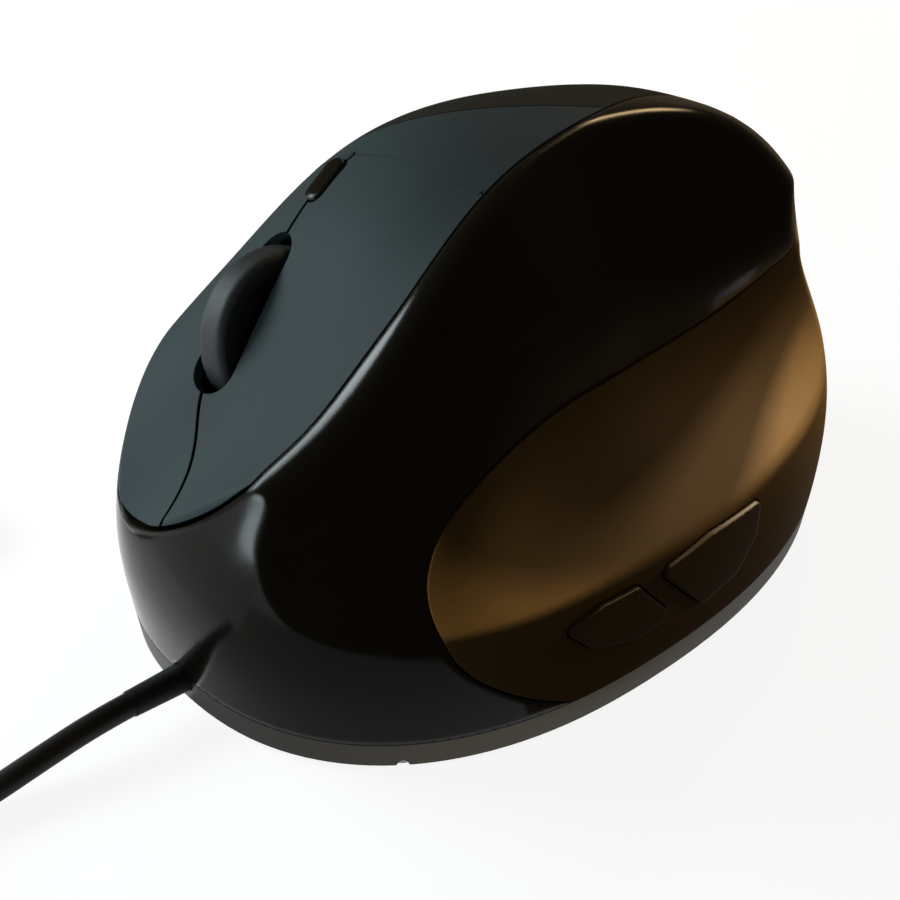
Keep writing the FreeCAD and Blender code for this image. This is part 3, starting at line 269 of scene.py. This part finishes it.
# Glide feet: pads of slippery dark grey film, die cut and stuck under the base. The
# film has a soft sheen with hazy patches.
slick_film, place, shader = new_finish("slick_film", {"IOR": 1.35})
haze = add_node(slick_film, "ShaderNodeTexNoise", {"Scale": 1 / 0.0015, "Detail": 4}, {"Vector": place})
tone = add_node(slick_film, "ShaderNodeValToRGB", {"stops": ("#2b2d2e", "#383a3b")}, {"Fac": (haze, "Fac")})
blur = add_node(slick_film, "ShaderNodeMapRange", {"To Min": 0.22, "To Max": 0.4}, {"Value": (haze, "Fac")})
relief = add_node(slick_film, "ShaderNodeBump", {"Strength": 0.1, "Distance": 0.00003},
                  {"Height": (haze, "Fac")})
feed(slick_film, shader, {"Base Color": (tone, "Color"), "Roughness": (blur, "Result"),
                          "Normal": (relief, "Normal")})
feet = worked_copy("glide_feet", "glide_foot_pads", slick_film)


# Screws and wheel axle: cold-headed steel with bright zinc plating, its grey a little
# blue and mottled.
zinc, place, shader = new_finish("zinc_plated_steel", {"Metallic": 1.0})
mottle = add_node(zinc, "ShaderNodeTexNoise", {"Scale": 1 / 0.0006, "Detail": 4}, {"Vector": place})
tone = add_node(zinc, "ShaderNodeValToRGB", {"stops": ("#9ea2a6", "#c0c4c8")}, {"Fac": (mottle, "Fac")})
blur = add_node(zinc, "ShaderNodeMapRange", {"To Min": 0.25, "To Max": 0.42}, {"Value": (mottle, "Fac")})
relief = add_node(zinc, "ShaderNodeBump", {"Strength": 0.2, "Distance": 0.00002},
                  {"Height": (mottle, "Fac")})
feed(zinc, shader, {"Base Color": (tone, "Color"), "Roughness": (blur, "Result"),
                    "Normal": (relief, "Normal")})
for name, piece_name in (("base_screws", "base_screw_set"), ("board_screws", "board_screw_set"),
                         ("frame_screws", "frame_screw_set"), ("wheel_axle", "wheel_pin")):
    piece = worked_copy(name, piece_name, zinc)


# Circuit boards: glass-cloth laminate under a green solder mask. The tracks under the
# mask show as lighter, slightly raised lines on a 1.27 mm grid.
track_pitch = 0.00127
board, place, shader = new_finish("solder_mask_laminate", {"IOR": 1.5})
tracks = add_node(board, "ShaderNodeTexBrick", {
    "Scale": 1 / (2 * track_pitch), "Mortar Size": 0.08, "Brick Width": 3.0, "Row Height": 0.5,
    "Color1": srgb("#0f4a26"), "Color2": srgb("#12542c"), "Mortar": srgb("#2a7d47")},
    {"Vector": place})
fibre = add_node(board, "ShaderNodeTexNoise", {"Scale": 1 / 0.0008, "Detail": 3}, {"Vector": place})
blur = add_node(board, "ShaderNodeMapRange", {"To Min": 0.22, "To Max": 0.38}, {"Value": (fibre, "Fac")})
relief = add_node(board, "ShaderNodeBump", {"Strength": 0.3, "Distance": 0.00003},
                  {"Height": (tracks, "Fac")})
feed(board, shader, {"Base Color": (tracks, "Color"), "Roughness": (blur, "Result"),
                     "Normal": (relief, "Normal")})
coat(["main_pcb", "button_pcb", "side_pcb"], board)


# Switches, chips, wheel carriage, guide, encoder, frame and hub: black ABS and epoxy,
# moulded with a fine spark-eroded grain and no paint.
black_abs, place, shader = new_finish("moulded_black_abs", {"IOR": 1.54})
spark = add_node(black_abs, "ShaderNodeTexNoise", {"Scale": 1 / 0.00025, "Detail": 4}, {"Vector": place})
tone = add_node(black_abs, "ShaderNodeValToRGB", {"stops": ("#141516", "#1f2021")}, {"Fac": (spark, "Fac")})
blur = add_node(black_abs, "ShaderNodeMapRange", {"To Min": 0.4, "To Max": 0.55}, {"Value": (spark, "Fac")})
relief = add_node(black_abs, "ShaderNodeBump", {"Strength": 0.3, "Distance": 0.00003},
                  {"Height": (spark, "Fac")})
feed(black_abs, shader, {"Base Color": (tone, "Color"), "Roughness": (blur, "Result"),
                         "Normal": (relief, "Normal")})
coat(["optical_sensor", "controller_chip", "inner_frame", "wheel_guide", "wheel_carriage",
      "scroll_encoder", "middle_switch", "rate_switch", "left_switch", "right_switch",
      "side_switch_front", "side_switch_rear"], black_abs)
hub = worked_copy("wheel_hub", "wheel_core", black_abs)


# Inner lead: the cord goes on inside, in the same extruded jacket, to the connector on
# the main board.
lead = worked_copy("inner_lead", "inner_cord_end", pvc)


# Sensor lens and lamp: clear polycarbonate and red epoxy, moulded to a polish. Both
# show flow lines only at their edges.
polycarbonate, place, shader = new_finish("clear_polycarbonate", {
    "IOR": 1.58, "Transmission Weight": 1.0, "Base Color": srgb("#eef3f3")})
flow = add_node(polycarbonate, "ShaderNodeTexNoise", {"Scale": 1 / 0.004, "Detail": 2}, {"Vector": place})
blur = add_node(polycarbonate, "ShaderNodeMapRange", {"To Min": 0.02, "To Max": 0.08},
                {"Value": (flow, "Fac")})
relief = add_node(polycarbonate, "ShaderNodeBump", {"Strength": 0.05, "Distance": 0.00005},
                  {"Height": (flow, "Fac")})
feed(polycarbonate, shader, {"Roughness": (blur, "Result"), "Normal": (relief, "Normal")})
coat(["sensor_lens"], polycarbonate)
epoxy, place, shader = new_finish("red_epoxy_lamp", {"IOR": 1.54, "Transmission Weight": 0.7})
flow = add_node(epoxy, "ShaderNodeTexNoise", {"Scale": 1 / 0.002, "Detail": 2}, {"Vector": place})
tone = add_node(epoxy, "ShaderNodeValToRGB", {"stops": ("#8e1a14", "#b22a20")}, {"Fac": (flow, "Fac")})
blur = add_node(epoxy, "ShaderNodeMapRange", {"To Min": 0.05, "To Max": 0.14}, {"Value": (flow, "Fac")})
relief = add_node(epoxy, "ShaderNodeBump", {"Strength": 0.05, "Distance": 0.00005},
                  {"Height": (flow, "Fac")})
feed(epoxy, shader, {"Base Color": (tone, "Color"), "Roughness": (blur, "Result"),
                     "Normal": (relief, "Normal")})
lamp = worked_copy("sensor_led", "sensor_lamp", epoxy)


# Wheel tyre: a ring of black rubber pressed over the hub, smooth and dull, with round
# shoulders and a dry bloom on the high places.
rubber, place, shader = new_finish("moulded_rubber", {"IOR": 1.52, "Specular IOR Level": 0.35})
bloom = add_node(rubber, "ShaderNodeTexNoise", {"Scale": 1 / 0.0012, "Detail": 5}, {"Vector": place})
tone = add_node(rubber, "ShaderNodeValToRGB", {"stops": ("#1c2122", "#272d2f")}, {"Fac": (bloom, "Fac")})
blur = add_node(rubber, "ShaderNodeMapRange", {"To Min": 0.5, "To Max": 0.65}, {"Value": (bloom, "Fac")})
skin = add_node(rubber, "ShaderNodeTexNoise", {"Scale": 1 / 0.0002, "Detail": 2}, {"Vector": place})
rounded = add_node(rubber, "ShaderNodeBevel", {"samples": 8, "Radius": 0.0013})
relief = add_node(rubber, "ShaderNodeBump", {"Strength": 0.25, "Distance": 0.00004},
                  {"Height": (skin, "Fac"), "Normal": (rounded, "Normal")})
feed(rubber, shader, {"Base Color": (tone, "Color"), "Roughness": (blur, "Result"),
                      "Normal": (relief, "Normal")})
tyre = worked_copy("wheel_tyre", "wheel_tread", rubber)


# Main housing: one moulding of high-gloss ABS from a polished tool. It is deep black
# and mirrors the room softly. Slight sink and finger haze keep it from a perfect mirror.
gloss_abs, place, shader = new_finish("polished_abs_housing", {
    "Base Color": srgb("#12100c"), "IOR": 1.5, "Specular IOR Level": 0.17})
haze = add_node(gloss_abs, "ShaderNodeTexNoise", {"Scale": 1 / 0.015, "Detail": 5}, {"Vector": place})
blur = add_node(gloss_abs, "ShaderNodeMapRange", {"To Min": 0.12, "To Max": 0.19}, {"Value": (haze, "Fac")})
sink = add_node(gloss_abs, "ShaderNodeTexNoise", {"Scale": 1 / 0.006, "Detail": 1}, {"Vector": place})
rounded = add_node(gloss_abs, "ShaderNodeBevel", {"samples": 10, "Radius": 0.0014})
relief = add_node(gloss_abs, "ShaderNodeBump", {"Strength": 0.03, "Distance": 0.00005},
                  {"Height": (sink, "Fac"), "Normal": (rounded, "Normal")})
feed(gloss_abs, shader, {"Roughness": (blur, "Result"), "Normal": (relief, "Normal")})
housing = worked_copy("main_shell", "gloss_housing", gloss_abs)


# Keys and the strip behind them: one ABS moulding sprayed with a matte charcoal paint
# that feels soft. Its slight blue tint is painted cool light from the window. Its flatting
# grains, some 0.05 mm, are drawn at 0.3 mm to show.
matte_paint, place, shader = new_finish("matte_charcoal_paint_cool_tint_painted", {"IOR": 1.5, "Specular IOR Level": 0.08})
cloud = add_node(matte_paint, "ShaderNodeTexNoise", {"Scale": 1 / 0.02, "Detail": 3}, {"Vector": place})
# Painted cool light: the blue in these charcoal greys stands for the window's light
tone = add_node(matte_paint, "ShaderNodeValToRGB", {"stops": ("#343d3f", "#384244")},
                {"Fac": (cloud, "Fac")})
grains = add_node(matte_paint, "ShaderNodeTexNoise", {"Scale": 1 / 0.0003, "Detail": 3}, {"Vector": place})
blur = add_node(matte_paint, "ShaderNodeMapRange", {"To Min": 0.52, "To Max": 0.66},
                {"Value": (grains, "Fac")})
rounded = add_node(matte_paint, "ShaderNodeBevel", {"samples": 6, "Radius": 0.00025})
relief = add_node(matte_paint, "ShaderNodeBump", {"Strength": 0.2, "Distance": 0.00003},
                  {"Height": (grains, "Fac"), "Normal": (rounded, "Normal")})
feed(matte_paint, shader, {"Base Color": (tone, "Color"), "Roughness": (blur, "Result"),
                           "Normal": (relief, "Normal")})
left_key = worked_copy("left_button", "left_key_cap", matte_paint)
right_key = worked_copy("right_button", "right_key_cap", matte_paint)
strip = worked_copy("top_cover", "key_strip", matte_paint)


# Hinge web: each key bends on a thin web that goes on under the same paint into the
# strip, so no seam crosses the top. It lies on the bend line, where nothing travels.
# A grid above the keys drops on them; what meets neither key nor strip is deleted.
hinge_line = -0.0124
web_reach = 0.0006
web_lift = 0.00006
above_keys = 0.09
top_of_keys = 0.08
for side, key, first, last in (("left", left_key, -0.0194, 0.0074),
                               ("right", right_key, -0.0284, -0.0200)):
    bpy.ops.object.select_all(action="DESELECT")
    bpy.ops.mesh.primitive_grid_add(x_subdivisions=60, y_subdivisions=1, size=1,
                                    location=((first + last) / 2, hinge_line, above_keys))
    web = bpy.context.active_object
    web.name = side + "_hinge_web"
    web.scale = (last - first, 2 * web_reach, 1)
    bpy.ops.object.transform_apply(location=True, scale=True)
    wrap = web.modifiers.new("lie_on_top", "SHRINKWRAP")
    wrap.wrap_method = "PROJECT"
    wrap.use_project_z = True
    wrap.use_positive_direction = False
    wrap.use_negative_direction = True
    wrap.target = strip
    wrap.auxiliary_target = key
    wrap.offset = web_lift
    bpy.ops.object.modifier_apply(modifier=wrap.name)
    bpy.ops.object.mode_set(mode="EDIT")
    bpy.ops.mesh.select_all(action="DESELECT")
    bpy.ops.object.mode_set(mode="OBJECT")
    for vertex in web.data.vertices:
        vertex.select = vertex.co.z > top_of_keys
    bpy.ops.object.mode_set(mode="EDIT")
    bpy.ops.mesh.delete(type="VERT")
    bpy.ops.object.mode_set(mode="OBJECT")
    bpy.ops.object.shade_smooth()
    web.data.materials.append(matte_paint)
    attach(web, "housing")


# Palm shell: an ABS moulding that closes the back of the mouse. It is sprayed with the
# same paint as the keys, drawn darker and slightly warmer: painted shade where the palm
# faces away from the window, and painted warm light from the lamp behind.
shaded_palm_paint, place, shader = new_finish("matte_palm_paint_painted_shade", {"IOR": 1.5, "Specular IOR Level": 0.08})
cloud = add_node(shaded_palm_paint, "ShaderNodeTexNoise", {"Scale": 1 / 0.02, "Detail": 3}, {"Vector": place})
# Painted shade and warm light: the key paint's greys made darker and warmer
tone = add_node(shaded_palm_paint, "ShaderNodeValToRGB", {"stops": ("#262725", "#2b2c2a")},
                {"Fac": (cloud, "Fac")})
grains = add_node(shaded_palm_paint, "ShaderNodeTexNoise", {"Scale": 1 / 0.0003, "Detail": 3}, {"Vector": place})
blur = add_node(shaded_palm_paint, "ShaderNodeMapRange", {"To Min": 0.5, "To Max": 0.64},
                {"Value": (grains, "Fac")})
rounded = add_node(shaded_palm_paint, "ShaderNodeBevel", {"samples": 6, "Radius": 0.00025})
relief = add_node(shaded_palm_paint, "ShaderNodeBump", {"Strength": 0.2, "Distance": 0.00003},
                  {"Height": (grains, "Fac"), "Normal": (rounded, "Normal")})
feed(shaded_palm_paint, shader, {"Base Color": (tone, "Color"), "Roughness": (blur, "Result"),
                          "Normal": (relief, "Normal")})
palm = worked_copy("palm_shell", "palm_cover", shaded_palm_paint)


# Thumb panel: ABS moulded in a spark-eroded tool, so it is satin with a fine grain, and a
# brownish black. The bronze of its colour is painted warm light, laid in on top of the
# warm lamps that reach it. The grain, some 0.15 mm, is drawn at 0.35 mm.
spark_abs_painted_warm_light, place, shader = new_finish("spark_grained_abs_painted_warm_light", {"IOR": 1.54, "Specular IOR Level": 0.04})
cloud = add_node(spark_abs_painted_warm_light, "ShaderNodeTexNoise", {"Scale": 1 / 0.02, "Detail": 3}, {"Vector": place})
# Painted warm light: bronze stops in place of the panel's brownish black
tone = add_node(spark_abs_painted_warm_light, "ShaderNodeValToRGB", {"stops": ("#463419", "#503c1f")}, {"Fac": (cloud, "Fac")})
grains = add_node(spark_abs_painted_warm_light, "ShaderNodeTexNoise", {"Scale": 1 / 0.00035, "Detail": 3}, {"Vector": place})
blur = add_node(spark_abs_painted_warm_light, "ShaderNodeMapRange", {"To Min": 0.62, "To Max": 0.76},
                {"Value": (grains, "Fac")})
rounded = add_node(spark_abs_painted_warm_light, "ShaderNodeBevel", {"samples": 6, "Radius": 0.0004})
relief = add_node(spark_abs_painted_warm_light, "ShaderNodeBump", {"Strength": 0.35, "Distance": 0.00004},
                  {"Height": (grains, "Fac"), "Normal": (rounded, "Normal")})
feed(spark_abs_painted_warm_light, shader, {"Base Color": (tone, "Color"), "Roughness": (blur, "Result"),
                         "Normal": (relief, "Normal")})
panel = worked_copy("thumb_panel", "thumb_rest", spark_abs_painted_warm_light)


# Side buttons: small ABS caps, satin from a finer tool, with rounded upper edges that
# catch the light. Their bronze colour is painted warm light, as on the thumb panel. The
# rate button is of the housing's polished ABS.
satin_abs_painted_warm_light, place, shader = new_finish("satin_abs_caps_painted_warm_light", {"IOR": 1.54, "Specular IOR Level": 0.07})
wear = add_node(satin_abs_painted_warm_light, "ShaderNodeTexNoise", {"Scale": 1 / 0.005, "Detail": 4}, {"Vector": place})
# Painted warm light: bronze stops, as on the thumb panel
tone = add_node(satin_abs_painted_warm_light, "ShaderNodeValToRGB", {"stops": ("#3a2c1a", "#443520")}, {"Fac": (wear, "Fac")})
blur = add_node(satin_abs_painted_warm_light, "ShaderNodeMapRange", {"To Min": 0.42, "To Max": 0.54}, {"Value": (wear, "Fac")})
grains = add_node(satin_abs_painted_warm_light, "ShaderNodeTexNoise", {"Scale": 1 / 0.0003, "Detail": 2}, {"Vector": place})
rounded = add_node(satin_abs_painted_warm_light, "ShaderNodeBevel", {"samples": 10, "Radius": 0.0009})
relief = add_node(satin_abs_painted_warm_light, "ShaderNodeBump", {"Strength": 0.15, "Distance": 0.00003},
                  {"Height": (grains, "Fac"), "Normal": (rounded, "Normal")})
feed(satin_abs_painted_warm_light, shader, {"Base Color": (tone, "Color"), "Roughness": (blur, "Result"),
                         "Normal": (relief, "Normal")})
front_cap = worked_copy("side_button_front", "front_side_cap", satin_abs_painted_warm_light)
rear_cap = worked_copy("side_button_rear", "rear_side_cap", satin_abs_painted_warm_light)
rate_cap = worked_copy("rate_button", "rate_cap", gloss_abs)


# Floor: a pale sweep of paper, white to the camera and in reflections, that keeps the
# soft shadow of the object.
paper_glow = 0.88
sweep_size = 6
sweep_drop = 0.0001
paper, place, shader = new_finish("pale_paper_sweep", {
    "Base Color": srgb("#8c8c8c"), "Specular IOR Level": 0.0, "Emission Color": (1, 1, 1, 1)})
fibres = add_node(paper, "ShaderNodeTexNoise", {"Scale": 1 / 0.002, "Detail": 2}, {"Vector": place})
blur = add_node(paper, "ShaderNodeMapRange", {"To Min": 0.85, "To Max": 0.95}, {"Value": (fibres, "Fac")})
seen = add_node(paper, "ShaderNodeLightPath")
straight = add_node(paper, "ShaderNodeMath", {"operation": "MAXIMUM"},
                    {0: (seen, "Is Camera Ray"), 1: (seen, "Is Glossy Ray")})
lift = add_node(paper, "ShaderNodeMath", {"operation": "MULTIPLY", 1: paper_glow}, {0: (straight, "Value")})
feed(paper, shader, {"Roughness": (blur, "Result"), "Emission Strength": (lift, "Value")})
bpy.ops.object.select_all(action="DESELECT")
bpy.ops.mesh.primitive_plane_add(size=sweep_size, location=(0, 0, -sweep_drop))
floor = bpy.context.active_object
floor.name = "floor"
floor.data.transform(floor.matrix_world)
floor.matrix_world.identity()
floor.location = (0, 0, 0)
floor.data.materials.append(paper)


# Studio: the photographed gloss mirrors a dark room with one cool window and a small
# warm lamp. So a black tent stands round the object, with black and grey cloths on the
# table and a white card over the coil. Only reflected rays see them.
def new_cloth(name, shine, strength):
    # Cloth or card that shows one even tone in a reflection
    material, place, shader = new_finish(name, {
        "Base Color": srgb("#030303"), "Specular IOR Level": 0.0,
        "Emission Color": srgb(shine), "Emission Strength": strength})
    nap = add_node(material, "ShaderNodeTexNoise", {"Scale": 1 / 0.002, "Detail": 2}, {"Vector": place})
    blur = add_node(material, "ShaderNodeMapRange", {"To Min": 0.9, "To Max": 1.0}, {"Value": (nap, "Fac")})
    feed(material, shader, {"Roughness": (blur, "Result")})
    return material


black_cloth = new_cloth("black_cloth", "#ffdfb0", 0.1)
grey_cloth = new_cloth("grey_cloth", "#ffffff", 0.42)
white_card = new_cloth("white_card", "#ffffff", 0.8)
facing_down = -0.9
for name, low, high, cloth in (
        ("black_tent", (-0.70, -0.70, 0.001), (0.70, 0.70, 0.80), black_cloth),
        ("right_table_cloth", (0.042, -0.69, -0.01), (0.69, 0.69, 0.0005), black_cloth),
        ("rear_table_cloth", (-0.69, 0.07, -0.01), (0.042, 0.69, 0.0005), black_cloth),
        ("left_table_cloth", (-0.69, -0.04, -0.01), (-0.06, 0.07, 0.0005), black_cloth),
        ("grey_table_cloth", (0.0, -0.13, -0.01), (0.042, 0.07, 0.0004), grey_cloth),
        ("grey_corner_cloth", (0.0, -0.13, -0.01), (0.062, -0.025, 0.0006), grey_cloth),
        ("coil_card", (-0.072, -0.168, -0.01), (0.004, -0.094, 0.0125), white_card)):
    # Each one is a box that is open below
    bpy.ops.object.select_all(action="DESELECT")
    bpy.ops.mesh.primitive_cube_add(size=1, location=(Vector(low) + Vector(high)) / 2)
    screen = bpy.context.active_object
    screen.name = name
    screen.scale = Vector(high) - Vector(low)
    bpy.ops.object.transform_apply(location=True, scale=True)
    bpy.ops.object.mode_set(mode="EDIT")
    bpy.ops.mesh.select_mode(type="FACE")
    bpy.ops.mesh.select_all(action="DESELECT")
    bpy.ops.object.mode_set(mode="OBJECT")
    for face in screen.data.polygons:
        face.select = face.normal.z < facing_down
    bpy.ops.object.mode_set(mode="EDIT")
    bpy.ops.mesh.delete(type="FACE")
    bpy.ops.object.mode_set(mode="OBJECT")
    screen.data.materials.append(cloth)
    screen.visible_camera = False
    screen.visible_diffuse = False
    screen.visible_transmission = False
    screen.visible_shadow = False


# Lamps: a cool window on the finger side, a cool strip that draws the sheen at the front
# corner and a warm lamp behind. Each is soft and unseen by the camera.
def soft_box(name, bearing, height, reach, aim, width, tall, radiance, colour):
    # An area lamp at a bearing and height angle round the point it is aimed at
    bearing = radians(bearing)
    height = radians(height)
    out = Vector((sin(bearing) * cos(height), -cos(bearing) * cos(height), sin(height)))
    bpy.ops.object.light_add(type="AREA", location=Vector(aim) + reach * out)
    box = bpy.context.active_object
    box.name = name
    box.data.shape = "RECTANGLE"
    box.data.size = width
    box.data.size_y = tall
    box.data.energy = radiance * pi * width * tall
    box.data.color = colour
    box.rotation_euler = out.to_track_quat("Z", "Y").to_euler()
    box.visible_camera = False
    return box


keys_middle = (0.0, -0.03, 0.045)
front_corner = (0.01, -0.055, 0.038)
crest_middle = (0.02, 0.01, 0.03)
soft_box("cool_window", -60, 19, 0.55, keys_middle, 0.38, 0.17, 14, (0.84, 0.97, 1.0))
soft_box("cool_strip", -13, -1, 0.24, front_corner, 0.05, 0.06, 13, (0.80, 0.96, 1.0))
soft_box("back_lamp", -147, 37, 0.6, crest_middle, 0.08, 0.08, 22, (1.0, 0.70, 0.36))


# Thumb side lamps: four warm lamps reach the thumb panel and its buttons alone. The
# crest throws its shadow into the middle of the scoop.
thumb_side = bpy.data.collections.new("thumb_side")
for piece in (panel, front_cap, rear_cap):
    thumb_side.objects.link(piece)
thumb_middle = (0.03, 0.0, 0.03)
thumb_rear = (0.036, 0.056, 0.036)
for name, bearing, height, reach, aim, size, spread, radiance in (
        ("front_thumb_lamp", -44, 50, 0.6, thumb_middle, 0.08, 180, 420),
        ("back_thumb_lamp", -147, 40, 0.6, thumb_middle, 0.08, 180, 900),
        ("rear_thumb_lamp", -166, 34, 0.6, thumb_middle, 0.08, 180, 240),
        ("rear_thumb_beam", 165, 15, 0.3, thumb_rear, 0.03, 8, 0.5)):
    box = soft_box(name, bearing, height, reach, aim, size, size, radiance, (1.0, 0.84, 0.62))
    box.data.spread = radians(spread)
    box.light_linking.receiver_collection = thumb_side


# Rim lamp: low and warm, it gives the base rim its bronze edge on the thumb side. It
# reaches the base plate alone.
rim_side = bpy.data.collections.new("rim_side")
rim_side.objects.link(base)
rim_middle = (0.03, -0.01, 0.0)
rim_lamp = soft_box("rim_lamp", 85, 10, 0.5, rim_middle, 0.2, 0.05, 140, (1.0, 0.80, 0.52))
rim_lamp.light_linking.receiver_collection = rim_side


# Room: white to the camera, in reflections and through clear pieces, and a weak even
# fill for everything else.
room_fill = 0.12
world = bpy.data.worlds.new("white_room")
bpy.context.scene.world = world
world.use_nodes = True
world.node_tree.nodes.clear()
seen = add_node(world, "ShaderNodeLightPath")
shown = add_node(world, "ShaderNodeMath", {"operation": "MAXIMUM"},
                 {0: (seen, "Is Camera Ray"), 1: (seen, "Is Glossy Ray")})
shown_too = add_node(world, "ShaderNodeMath", {"operation": "MAXIMUM"},
                     {0: (shown, "Value"), 1: (seen, "Is Transmission Ray")})
fill = add_node(world, "ShaderNodeBackground", {"Color": (1, 1, 1, 1), "Strength": room_fill})
white = add_node(world, "ShaderNodeBackground", {"Color": (1, 1, 1, 1), "Strength": 1.0})
room = add_node(world, "ShaderNodeMixShader", {}, {0: (shown_too, "Value"), 1: (fill, "Background"),
                                                   2: (white, "Background")})
add_node(world, "ShaderNodeOutputWorld", {}, {"Surface": (room, "Shader")})
bpy.context.scene.view_settings.view_transform = "Standard"
